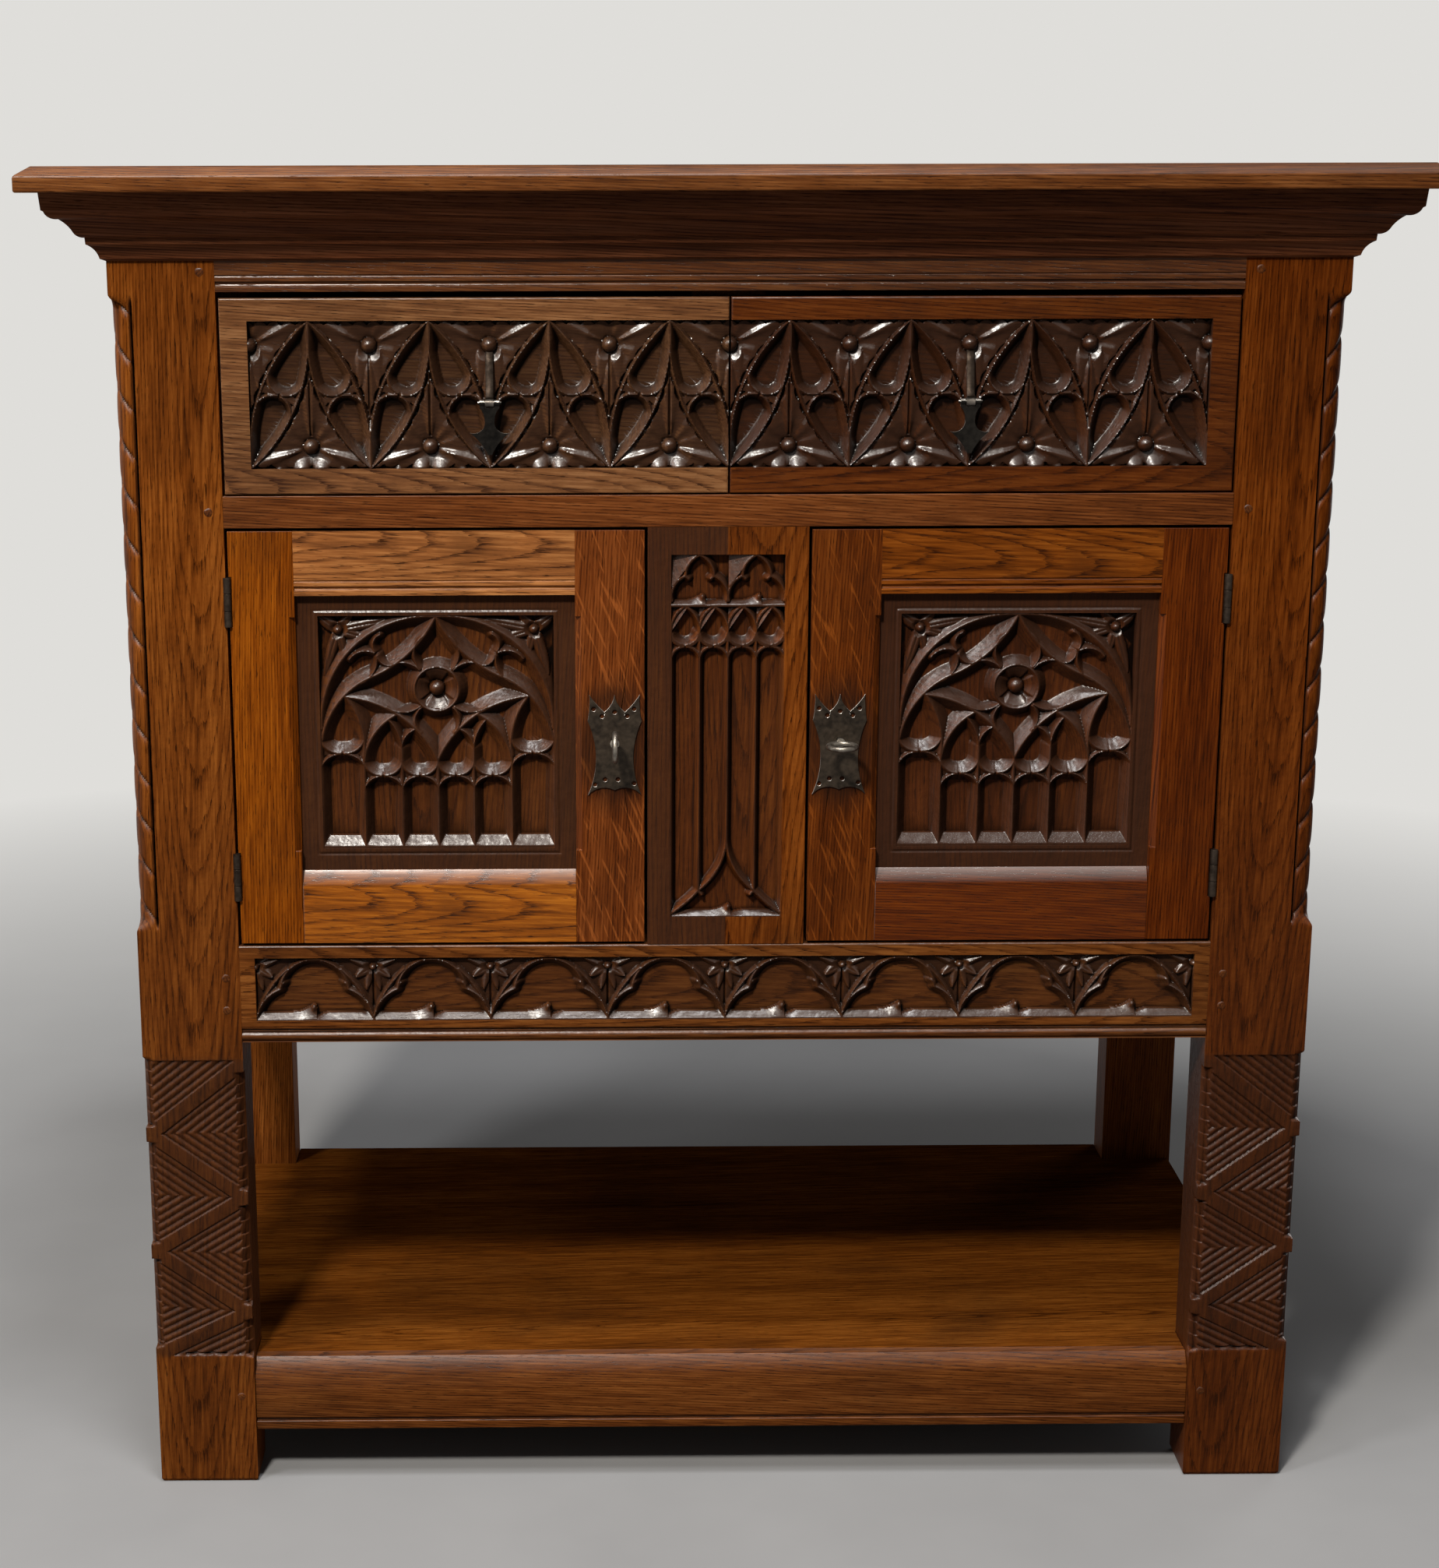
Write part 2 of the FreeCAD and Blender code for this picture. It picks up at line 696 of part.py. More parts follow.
# Side rails, side panels and the seats for the panels
side_rails = {}
side_panels = {}
panel_seats = {}
for hand, side in SIDES.items():
    upper = side_rail(f"upper_{hand}", hand, (TOP_RAIL_FOOT, CARCASS_TOP))
    lower = side_rail(f"lower_{hand}", hand, (SIDE_RAIL_FOOT, FRIEZE_TOP))
    side_rails[hand] = (upper, lower)
    middle = f"({SIDE_RAIL_IN} + {SIDE_RAIL_OUT}) / 2"
    thin = mirrored(
        side, f"{middle} - side_panel_thickness / 2", f"{middle} + side_panel_thickness / 2"
    )
    deep = (f"{POST_BACK} - groove_depth", f"{BACK_POST_FRONT} + groove_depth")
    high = (f"{FRIEZE_TOP} - groove_depth", f"{TOP_RAIL_FOOT} + groove_depth")
    side_panels[hand] = box(f"panel_{hand}", thin, deep, high)
    seat_deep = (f"{deep[0]} - groove_end_gap", f"{deep[1]} + groove_end_gap")
    seat_high = (f"{high[0]} - groove_end_gap", f"{high[1]} + groove_end_gap")
    seat = box(f"panel_seat_{hand}", thin, seat_deep, seat_high)
    panel_seats[hand] = seat
    front_post_seats[hand].append(seat)
    back_post_seats[hand].append(seat)

# Back rails and the boarded back
back_upper = cross_rail(
    "back_upper",
    (BACK_RAIL_FRONT, BACK_RAIL_BACK),
    (TOP_RAIL_FOOT, CARCASS_TOP),
    BACK_POST_IN,
    back_post_seats,
    "grooved_shoulder",
)
back_lower = cross_rail(
    "back_lower",
    (BACK_RAIL_FRONT, BACK_RAIL_BACK),
    (SIDE_RAIL_FOOT, FRIEZE_TOP),
    BACK_POST_IN,
    back_post_seats,
    "grooved_shoulder",
)
back_middle = cross_rail(
    "back_middle",
    (MID_RAIL_FRONT, MID_RAIL_BACK),
    (f"{RAIL_TOP} - 2 * runner_height", RAIL_TOP),
    BACK_POST_IN,
    back_post_seats,
)
board_thin = (MID_RAIL_BACK, f"{BOARD_MIDDLE} + back_board_thickness / 2")
board_half = f"({BACK_POST_IN} + groove_depth)"
board_high = (f"{FRIEZE_TOP} - groove_depth", f"{TOP_RAIL_FOOT} + groove_depth")
BACK_BOARDS = 5
back_boards = []
for number in range(BACK_BOARDS):
    pitch = f"2 * {board_half} / {BACK_BOARDS}"
    first = f"-{board_half} + {number} * {pitch} + back_board_gap / 2"
    last = f"-{board_half} + {number + 1} * {pitch} - back_board_gap / 2"
    back_boards.append(box(f"back_board_{number}", (first, last), board_thin, board_high))
back_seat = box(
    "back_board_seat",
    (f"-({board_half} + groove_end_gap)", f"{board_half} + groove_end_gap"),
    board_thin,
    (f"{board_high[0]} - groove_end_gap", f"{board_high[1]} + groove_end_gap"),
)
for hand in SIDES:
    back_post_seats[hand].append(back_seat)

# Pot board rails: a bevelled front rail with a bead, two side rails and a back rail
pot_front_rail = cross_rail(
    "pot_front",
    (POT_FRONT, POT_BACK),
    ("pot_rail_foot", "pot_board_level"),
    POST_IN,
    front_post_seats,
)
pot_extent = bounds(pot_front_rail)
bevel_wire = outline(
    Vector(pot_extent.XMin, pot_extent.YMin - size("overrun"), pot_extent.ZMax + size("overrun")),
    Vector(pot_extent.XMin, pot_extent.YMin + size("pot_rail_bevel_run"), pot_extent.ZMax),
    Vector(pot_extent.XMin, pot_extent.YMin, pot_extent.ZMax - size("pot_rail_bevel_drop")),
    Vector(
        pot_extent.XMin,
        pot_extent.YMin - size("overrun"),
        pot_extent.ZMax - size("pot_rail_bevel_drop"),
    ),
)
pot_bevel = feature("pot_bevel", prism(bevel_wire, Vector(pot_extent.XLength, 0, 0)))
pot_quirk = box(
    "pot_quirk",
    (f"-{POST_IN}", POST_IN),
    (f"{POT_FRONT} - overrun", f"{POT_FRONT} + bead_quirk"),
    ("pot_rail_foot + pot_rail_bead", "pot_rail_foot + pot_rail_bead + bead_quirk"),
)
POT_SEAT = f"({POT_BACK} - pot_rail_rebate)"
pot_rebate = box(
    "pot_rebate",
    (f"-{POST_IN}", POST_IN),
    (POT_SEAT, f"{POT_BACK} + overrun"),
    (POT_UNDER, "pot_board_level + overrun"),
)
pot_side_rails = []
for hand in SIDES:
    pot_side_rails.append(side_rail(f"pot_{hand}", hand, ("pot_rail_foot", POT_UNDER)))
pot_back_rail = cross_rail(
    "pot_back",
    (BACK_RAIL_FRONT, BACK_RAIL_BACK),
    ("pot_rail_foot", POT_UNDER),
    BACK_POST_IN,
    back_post_seats,
)

# Front posts: a rope roll on the outer corner, carved legs with chamfered corners
CHEVRON_SHARES = [0.985, 0.755, 0.540, 0.360, 0.150, 0.005]


def shrunk(corners, distance):
    """A triangle with every side moved inwards by one distance."""
    sides = [(corners[n - 1] - corners[n - 2]).Length for n in range(3)]
    total = sum(sides)
    middle = Vector(0, 0, 0)
    for corner, length in zip(corners, sides):
        middle += corner * (length / total)
    area = (corners[1] - corners[0]).cross(corners[2] - corners[0]).Length / 2
    inner_radius = 2 * area / total
    keep = 1 - distance / inner_radius
    return [middle + (corner - middle) * keep for corner in corners]


def post_carving(extent):
    """What is carved from the right front post."""
    overrun = size("overrun")
    square = size("rope_square")
    rope_foot = size("rope_foot")
    rope_height = size("rope_head") - rope_foot
    inner = Vector(extent.XMax - square, extent.YMin + square, rope_foot)
    corner = Vector(inner.x, extent.YMin - overrun, rope_foot)
    rope = Part.makeBox(square + overrun, square + overrun, rope_height, corner)
    rope = rope.cut(Part.makeCylinder(square - size("rope_quirk"), rope_height, inner))
    foot = size("leg_carving_foot")
    height = size("leg_carving_head") - foot
    chamfer = size("leg_chamfer")
    near = extent.YMin - overrun
    deep = extent.YMin + chamfer + overrun
    tools = [rope]
    for edge, out in ((extent.XMin, -1), (extent.XMax, 1)):
        wire = outline(
            Vector(edge - out * (chamfer + overrun), near, foot),
            Vector(edge + out * overrun, near, foot),
            Vector(edge + out * overrun, deep, foot),
        )
        tools.append(prism(wire, Vector(0, 0, height)))
    ends = (extent.XMin + chamfer, extent.XMax - chamfer)
    levels = [foot + share * height for share in CHEVRON_SHARES]
    turns = [Vector(ends[n % 2], near, level) for n, level in enumerate(levels)]
    turns.insert(0, Vector(ends[1], near, levels[0]))
    turns.append(Vector(ends[0], near, levels[-1]))
    for first in range(len(turns) - 2):
        corners = shrunk(turns[first:first + 3], size("chevron_band") / 2)
        tools.append(prism(outline(*corners), Vector(0, overrun + size("chevron_depth"), 0)))
    return Part.makeCompound(tools)


carved_posts = {}
for hand, side in SIDES.items():
    carved_posts[hand] = box(
        f"front_post_{hand}_blank",
        mirrored(side, POST_IN, HALF),
        (FRONT, POST_BACK),
        ("0", CARCASS_TOP),
    )
right_carving = post_carving(bounds(carved_posts["right"]))
post_tools = {
    "right": feature("right_post_carving", right_carving),
    "left": feature("left_post_carving", mirror_x(right_carving)),
}


# Hinges: three knuckles on a pin, one leaf on the post and one on the door
def hinge_feet():
    """The lower ends of the two hinges of a door."""
    upper = f"({DOOR_TOP} - hinge_inset - hinge_height)"
    lower = f"({DOOR_FOOT} + hinge_inset)"
    return upper, lower


KNUCKLE_STEP = "(knuckle_height + knuckle_gap)"
post_leaves = []
door_leaves = {"left": [], "right": []}
hinge_pins = []
barrel_seats = {"left": [], "right": []}


def knuckle(name, axis_x, zone, leaf_x):
    """A ring round the pin with the tab that joins it to its leaf."""
    first, last = zone
    place = (axis_x, HINGE_FRONT, first)
    ring = cylinder(name + "_ring", "barrel_radius", span(first, last), place, (0, 0, 1))
    tab_y = (HINGE_FRONT, f"{HINGE_FRONT} + barrel_radius + barrel_clearance")
    tab = box(name + "_tab", leaf_x, tab_y, zone)
    return [ring, tab]


def hinge(name, hand, foot):
    """One butt hinge: its two leaves, its pin and the seat for its barrel."""
    side = SIDES[hand]
    axis_x = HINGE_AXIS if side > 0 else f"-{HINGE_AXIS}"
    head = f"({foot} + hinge_height)"
    low = (foot, f"{foot} + knuckle_height")
    mid = (f"{foot} + {KNUCKLE_STEP}", f"{head} - {KNUCKLE_STEP}")
    high = (f"{head} - knuckle_height", head)
    leaf_y = f"{HINGE_FRONT} + barrel_radius + barrel_clearance"
    plate_y = (leaf_y, f"{leaf_y} + leaf_depth")
    post_x = mirrored(side, f"{POST_IN} - leaf_thickness", POST_IN)
    door_x = mirrored(side, DOOR_OUT, f"{DOOR_OUT} + leaf_thickness")
    place = (axis_x, HINGE_FRONT, foot)
    up = (0, 0, 1)
    bore = cylinder(
        name + "_bore", "hinge_pin_radius + pin_clearance", "hinge_height", place, up
    )
    fixed = [box(name + "_post_plate", post_x, plate_y, (foot, head))]
    fixed += knuckle(name + "_low", axis_x, low, post_x)
    fixed += knuckle(name + "_high", axis_x, high, post_x)
    post_leaves.append(cut(name + "_post", fuse(name + "_post_leaf", fixed), [bore]))
    moving = [box(name + "_door_plate", door_x, plate_y, (foot, head))]
    moving += knuckle(name + "_mid", axis_x, mid, door_x)
    door_leaves[hand].append(cut(name + "_door", fuse(name + "_door_leaf", moving), [bore]))
    hinge_pins.append(
        cylinder(name + "_pin", "hinge_pin_radius", "hinge_height", place, up)
    )
    barrel_seats[hand].append(
        cylinder(
            name + "_seat",
            "barrel_radius + barrel_clearance",
            "hinge_height + 2 * knuckle_gap",
            (axis_x, HINGE_FRONT, f"{foot} - knuckle_gap"),
            up,
        )
    )


for hand in SIDES:
    for number, foot in enumerate(hinge_feet()):
        hinge(f"{hand}_hinge_{number}", hand, foot)

# Pegs that draw the front rails' tenons into the posts
PEG_LEVELS = {
    "top": f"{TOP_RAIL_FOOT} + top_rail_height / 5",
    "drawer": f"{RAIL_FOOT} + drawer_rail_height / 2",
    "frieze_low": "frieze_foot + frieze_height / 3",
    "frieze_high": "frieze_foot + 2 * frieze_height / 3",
    "pot": "(pot_rail_foot + pot_board_level) / 2",
}
joint_pegs = {"left": [], "right": []}
for hand, side in SIDES.items():
    reach = f"({POST_IN} + tenon_length / 2)"
    across = reach if side > 0 else f"-{reach}"
    for name, level in PEG_LEVELS.items():
        peg = cylinder(
            f"{hand}_{name}_peg", "peg_radius", "peg_length", (across, FRONT, level), (0, 1, 0)
        )
        joint_pegs[hand].append(peg)
all_pegs = joint_pegs["left"] + joint_pegs["right"]

for hand in SIDES:
    tools = front_post_seats[hand] + joint_pegs[hand] + barrel_seats[hand] + [post_tools[hand]]
    node(f"front_post_{hand}", cut(f"front_post_{hand}", carved_posts[hand], tools))

for hand, side in SIDES.items():
    blank = box(
        f"back_post_{hand}_blank",
        mirrored(side, BACK_POST_IN, HALF),
        (BACK_POST_FRONT, BACK),
        ("0", CARCASS_TOP),
    )
    node(f"back_post_{hand}", cut(f"back_post_{hand}", blank, back_post_seats[hand]))


# Top board: a padded rectangle with a bevel along its front and its ends
def rectangle_sketch(body, name, width, depth):
    """A rectangle centred on the body's own XY plane, bound to the sheet."""
    sketch = body.newObject("Sketcher::SketchObject", name)
    plane = [item for item in body.Origin.OriginFeatures if item.Role == "XY_Plane"][0]
    sketch.AttachmentSupport = (plane, [""])
    sketch.MapMode = "FlatFace"
    half_x = size("body_width") / 2
    half_y = size("body_depth") / 2
    signs = [(-1, -1), (1, -1), (1, 1), (-1, 1)]
    corners = [Vector(x * half_x, y * half_y, 0) for x, y in signs]
    for number in range(4):
        edge = Part.LineSegment(corners[number], corners[(number + 1) % 4])
        sketch.addGeometry(edge, False)
    for number in range(4):
        following = (number + 1) % 4
        sketch.addConstraint(Sketcher.Constraint("Coincident", number, 2, following, 1))
        kind = "Horizontal" if number % 2 == 0 else "Vertical"
        sketch.addConstraint(Sketcher.Constraint(kind, number))
    sketch.addConstraint(Sketcher.Constraint("Symmetric", 0, 1, 1, 2, -1, 1))
    across = sketch.addConstraint(Sketcher.Constraint("DistanceX", 0, 1, 0, 2, 2 * half_x))
    along = sketch.addConstraint(Sketcher.Constraint("DistanceY", 1, 1, 1, 2, 2 * half_y))
    sketch.renameConstraint(across, "width")
    sketch.renameConstraint(along, "depth")
    sketch.setExpression("Constraints.width", bound(width))
    sketch.setExpression("Constraints.depth", bound(depth))
    return sketch


top_body = doc.addObject("PartDesign::Body", "top_body")
top_sketch = rectangle_sketch(
    top_body, "top_outline", "body_width + 2 * top_side_overhang", "body_depth + top_front_overhang"
)
top_pad = top_body.newObject("PartDesign::Pad", "top_pad")
top_pad.Profile = top_sketch
top_pad.setExpression("Length", bound("top_thickness"))
doc.recompute()
top_level = top_pad.Shape.BoundBox.ZMax
bevel_edges = []
for number, edge in enumerate(top_pad.Shape.Edges, 1):
    middle = edge.CenterOfMass
    upper = middle.z > top_level / 2 and edge.BoundBox.ZLength < top_level / 2
    if upper and middle.y <= 0:
        bevel_edges.append(f"Edge{number}")
top_bevel = top_body.newObject("PartDesign::Chamfer", "top_bevel")
top_bevel.Base = (top_pad, bevel_edges)
top_bevel.ChamferType = "Two distances"
top_bevel.setExpression("Size", bound("top_bevel_drop"))
top_bevel.setExpression("Size2", bound("top_bevel_run"))
top_body.Tip = top_bevel
top_body.setExpression("Placement.Base.z", bound(CARCASS_TOP))
node("top_board", top_body)

# Cornice: one profile, run along the front and returned along both sides
CORNICE_SHARES = {
    "fillet": (0.97, 0.75),
    "quirk": (0.93, 0.73),
    "ovolo_middle": (0.86, 0.65),
    "ovolo_end": (0.71, 0.62),
    "cyma_middle": (0.58, 0.53),
    "cyma_turn": (0.49, 0.42),
    "cyma_hollow": (0.42, 0.365),
    "cyma_end": (0.32, 0.345),
    "step": (0.31, 0.25),
    "cove_middle": (0.17, 0.16),
    "cove_end": (0.10, 0.035),
}


def cornice_outline(place):
    """The moulding's section; place turns two shares into a point."""
    points = {name: place(*shares) for name, shares in CORNICE_SHARES.items()}
    return outline(
        place(0, 1),
        place(1, 1),
        points["fillet"],
        points["quirk"],
        (points["ovolo_middle"], points["ovolo_end"]),
        (points["cyma_middle"], points["cyma_turn"]),
        (points["cyma_hollow"], points["cyma_end"]),
        points["step"],
        (points["cove_middle"], points["cove_end"]),
        place(0, 0),
    )


post_extent = bounds(carved_posts["right"])
cornice_run = size("cornice_projection")
cornice_rise = size("cornice_height")
cornice_foot = post_extent.ZMax - cornice_rise
back_face = post_extent.YMin + size("body_depth")


def front_section(run, rise):
    """A point of the front moulding's section at its left end."""
    x = -post_extent.XMax - cornice_run
    return Vector(x, post_extent.YMin - run * cornice_run, cornice_foot + rise * cornice_rise)


def side_section(run, rise):
    """A point of the right return's section at its front end."""
    x = post_extent.XMax + run * cornice_run
    return Vector(x, post_extent.YMin - cornice_run, cornice_foot + rise * cornice_rise)


def mitre_block(sense):
    """The half of the front right corner that one moulding gives up."""
    corner = Vector(post_extent.XMax, post_extent.YMin, cornice_foot)
    reach = cornice_run + size("overrun")
    outer = corner + Vector(reach, -reach, 0)
    if sense == "front":
        third = corner + Vector(reach, 0, 0)
    else:
        third = corner + Vector(0, -reach, 0)
    return prism(outline(corner, outer, third), Vector(0, 0, cornice_rise))


front_length = 2 * (post_extent.XMax + cornice_run)
front_moulding = prism(cornice_outline(front_section), Vector(front_length, 0, 0))
front_block = mitre_block("front")
front_moulding = front_moulding.cut([front_block, mirror_x(front_block)])
node("cornice_front", feature("cornice_front_run", front_moulding))
return_length = back_face - post_extent.YMin + cornice_run
return_moulding = prism(cornice_outline(side_section), Vector(0, return_length, 0))
return_moulding = return_moulding.cut(mitre_block("side"))
node("cornice_right", feature("cornice_right_run", return_moulding))
node("cornice_left", feature("cornice_left_run", mirror_x(return_moulding)))

# Centre muntin, tenoned into the drawer rail above and the frieze rail below
muntin_x = ("-muntin_width / 2", "muntin_width / 2")
muntin_y = (FRONT, f"{FRONT} + muntin_thickness")
muntin_tenon_x = ("muntin_tenon_inset - muntin_width / 2", "muntin_width / 2 - muntin_tenon_inset")
muntin_middle = f"({FRONT} + muntin_thickness / 2)"
muntin_tenon_y = (
    f"{muntin_middle} - tenon_thickness / 2", f"{muntin_middle} + tenon_thickness / 2"
)
muntin_core = box("muntin_core", muntin_x, muntin_y, (FRIEZE_TOP, RAIL_FOOT))
muntin_tenons = box(
    "muntin_tenons",
    muntin_tenon_x,
    muntin_tenon_y,
    (f"{FRIEZE_TOP} - muntin_tenon_length", f"{RAIL_FOOT} + muntin_tenon_length"),
)
muntin_mortise = box(
    "muntin_mortise",
    muntin_tenon_x,
    muntin_tenon_y,
    (
        f"{FRIEZE_TOP} - muntin_tenon_length - mortise_end_gap",
        f"{RAIL_FOOT} + muntin_tenon_length + mortise_end_gap",
    ),
)
muntin_extent = bounds(muntin_core)
muntin_field = Field(
    muntin_extent.XMin + size("muntin_field_side"),
    muntin_extent.XMax - size("muntin_field_side"),
    muntin_extent.ZMin + size("muntin_field_foot"),
    muntin_extent.ZMax - size("muntin_field_head"),
    muntin_extent.YMin,
)
muntin_carving = feature("muntin_carving", muntin_tracery(muntin_field))
muntin_blank = fuse("muntin_blank", [muntin_core, muntin_tenons])
node("centre_muntin", cut("centre_muntin", muntin_blank, [muntin_carving]))

# Cupboard floor, housed in the rails and notched round the posts
FLOOR_TOP = f"({FRIEZE_TOP} - floor_drop)"
floor_z = (f"{FLOOR_TOP} - floor_thickness", FLOOR_TOP)
floor_half = f"({SIDE_RAIL_IN} + floor_lap)"
floor_y = (f"{RAIL_BACK} - floor_lap", f"{BACK_RAIL_FRONT} + floor_lap")
floor_blank = box("floor_blank", (f"-{floor_half}", floor_half), floor_y, floor_z)
floor_seat = box(
    "floor_seat",
    (f"-({floor_half} + groove_end_gap)", f"{floor_half} + groove_end_gap"),
    (f"{floor_y[0]} - groove_end_gap", f"{floor_y[1]} + groove_end_gap"),
    floor_z,
)


def post_notches(name, along_z):
    """Room for the four posts at the corners of a board."""
    first_z, last_z = along_z
    high = (f"{first_z} - overrun", f"{last_z} + overrun")
    notches = []
    for hand, side in SIDES.items():
        front_x = mirrored(side, f"{POST_IN} - notch_gap", f"{HALF} + overrun")
        back_x = mirrored(side, f"{BACK_POST_IN} - notch_gap", f"{HALF} + overrun")
        front_y = (f"{FRONT} - overrun", f"{POST_BACK} + notch_gap")
        back_y = (f"{BACK_POST_FRONT} - notch_gap", f"{BACK} + overrun")
        notches.append(box(f"{name}_front_notch_{hand}", front_x, front_y, high))
        notches.append(box(f"{name}_back_notch_{hand}", back_x, back_y, high))
    return notches


node("cupboard_floor", cut("cupboard_floor", floor_blank, post_notches("floor", floor_z)))

# Rails of the front, cut for the tenons, pegs, grooves and carving that meet them
node("top_rail", cut("top_rail", top_rail, [top_rail_hollows] + all_pegs))
node("drawer_rail", cut("drawer_rail", drawer_rail, [muntin_mortise] + all_pegs))
frieze_tools = [muntin_mortise, floor_seat, frieze_quirk, frieze_carving] + all_pegs
node("frieze_rail", cut("frieze_rail", frieze_rail, frieze_tools))
pot_tools = [pot_bevel, pot_quirk, pot_rebate] + all_pegs
node("pot_board_front_rail", cut("pot_board_front_rail", pot_front_rail, pot_tools))
node("joint_pegs", group("joint_peg_set", all_pegs))

# Sides and back
for hand in SIDES:
    upper, lower = side_rails[hand]
    fitted = [
        cut(f"{hand}_upper_rail", upper, [panel_seats[hand]]),
        cut(f"{hand}_lower_rail", lower, [panel_seats[hand], floor_seat]),
    ]
    node(f"side_rails_{hand}", group(f"{hand}_side_rail_pair", fitted))
    node(f"side_panel_{hand}", side_panels[hand])
back_rail_set = [
    cut("back_upper", back_upper, [back_seat]),
    cut("back_lower", back_lower, [back_seat, floor_seat]),
    back_middle,
]
node("back_rails", group("back_rail_set", back_rail_set))
node("back_boards", group("back_board_set", back_boards))

# Pot board: three planks on its rails
POT_PLANKS = 3
pot_half = f"({HALF} - pot_board_inset)"
pot_z = (POT_UNDER, "pot_board_level")
pot_pitch = f"(({BACK} - {POT_SEAT}) / {POT_PLANKS})"
pot_notches = post_notches("pot_board", pot_z)
pot_planks = []
for number in range(POT_PLANKS):
    first = f"{POT_SEAT} + {number} * {pot_pitch}"
    last = f"{POT_SEAT} + {number + 1} * {pot_pitch}"
    if number < POT_PLANKS - 1:
        last = f"{last} - pot_board_seam"
    plank = box(f"pot_plank_{number}", (f"-{pot_half}", pot_half), (first, last), pot_z)
    pot_planks.append(cut(f"pot_plank_{number}", plank, pot_notches))
node("pot_board", group("pot_board_planks", pot_planks))
node("pot_board_rails", group("pot_board_rail_set", pot_side_rails + [pot_back_rail]))

# Drawer runners with the guide between the drawers, and the kickers above them
runner_z = (f"{RAIL_TOP} - runner_height", RAIL_TOP)
runner_y = (RAIL_BACK, MID_RAIL_FRONT)
runners = []
kickers = []
kicker_z = (f"{DRAWER_SIDE_TOP} + kicker_gap", f"{TOP_RAIL_FOOT} + kicker_lap")
kicker_y = (RAIL_BACK, BACK_RAIL_FRONT)
for hand, side in SIDES.items():
    edge_x = mirrored(side, f"{POST_IN} - runner_width", POST_IN)
    runners.append(box(f"{hand}_runner", edge_x, runner_y, runner_z))
    kickers.append(box(f"{hand}_kicker", edge_x, kicker_y, kicker_z))
middle_x = ("-centre_runner_width / 2", "centre_runner_width / 2")
middle_runner = box("middle_runner", middle_x, runner_y, runner_z)
guide = box(
    "drawer_guide",
    ("-guide_width / 2", "guide_width / 2"),
    runner_y,
    (RAIL_TOP, f"{RAIL_TOP} + guide_height"),
)
runners.append(fuse("guided_runner", [middle_runner, guide]))
kickers.append(box("middle_kicker", middle_x, kicker_y, kicker_z))
node("drawer_runners", group("drawer_runner_set", runners))
node("drawer_kickers", group("drawer_kicker_set", kickers))
node("post_hinge_leaves", group("post_leaf_set", post_leaves))
node("hinge_pins", group("hinge_pin_set", hinge_pins))

# Doors: mortised frames round a traceried panel
ESCUTCHEON_SHARES = [
    ((0.50, 0.075), (1.00, 0.000)),
    ((0.70, 0.420), (1.00, 0.740)),
    ((0.93, 0.880), (0.93, 1.000)),
    ((0.58, 0.880), (0.38, 0.830)),
    ((0.22, 0.870), (0.00, 1.000)),
]
ESCUTCHEON_FOOT_SHARE = 0.05
ESCUTCHEON_KEY_SHARE = 0.54
PIERCING_SHARES = [
    (-0.78, 0.86), (-0.47, 0.79), (0.0, 0.83), (0.47, 0.79), (0.72, 0.86),
    (-0.74, 0.11), (-0.36, 0.16), (0.12, 0.16), (0.72, 0.12),
]


def escutcheon(key_hole):
    """A crowned plate with drawn-in sides and small round piercings."""
    width = size("escutcheon_width")
    height = size("escutcheon_height")
    extent = bounds(key_hole)
    middle_x = (extent.XMin + extent.XMax) / 2
    key_z = extent.ZMax - size("key_shank_radius") - size("key_clearance")
    foot_z = key_z - ESCUTCHEON_KEY_SHARE * height
    plate_y = extent.YMin + size("overrun")
    thickness = size("escutcheon_thickness")

    def place(share_x, share_z):
        x = middle_x + share_x * width / 2
        return Vector(x, plate_y, foot_z + share_z * height)

    steps = [place(0, ESCUTCHEON_FOOT_SHARE)]
    for middle, end in ESCUTCHEON_SHARES:
        steps.append((place(*middle), place(*end)))
    returning = [pair[1] for pair in ESCUTCHEON_SHARES[:-1]][::-1]
    returning.append((0.0, ESCUTCHEON_FOOT_SHARE))
    for (middle, _), end in zip(ESCUTCHEON_SHARES[::-1], returning):
        steps.append((place(-middle[0], middle[1]), place(-end[0], end[1])))
    plate = prism(outline(*steps), Vector(0, thickness, 0))
    holes = []
    for share_x, share_z in PIERCING_SHARES:
        centre = place(share_x, share_z)
        hole = Part.makeCylinder(
            size("escutcheon_hole"), thickness, centre, Vector(0, 1, 0)
        )
        holes.append(hole)
    return plate.cut(holes)


def stile_chamfer(stile, edge_x, out):
    """The stopped chamfer along a stile's inner front edge."""
    extent = bounds(stile)
    overrun = size("overrun")
    reach = size("stile_chamfer")
    first = extent.ZMin + size("door_foot_height") + size("stile_chamfer_stop")
    last = extent.ZMax - size("door_head_height") - size("stile_chamfer_stop")
    wire = outline(
        Vector(edge_x - out * (reach + overrun), extent.YMin - overrun, first),
        Vector(edge_x + out * overrun, extent.YMin - overrun, first),
        Vector(edge_x + out * overrun, extent.YMin + reach + overrun, first),
    )
    return prism(wire, Vector(0, 0, last - first))


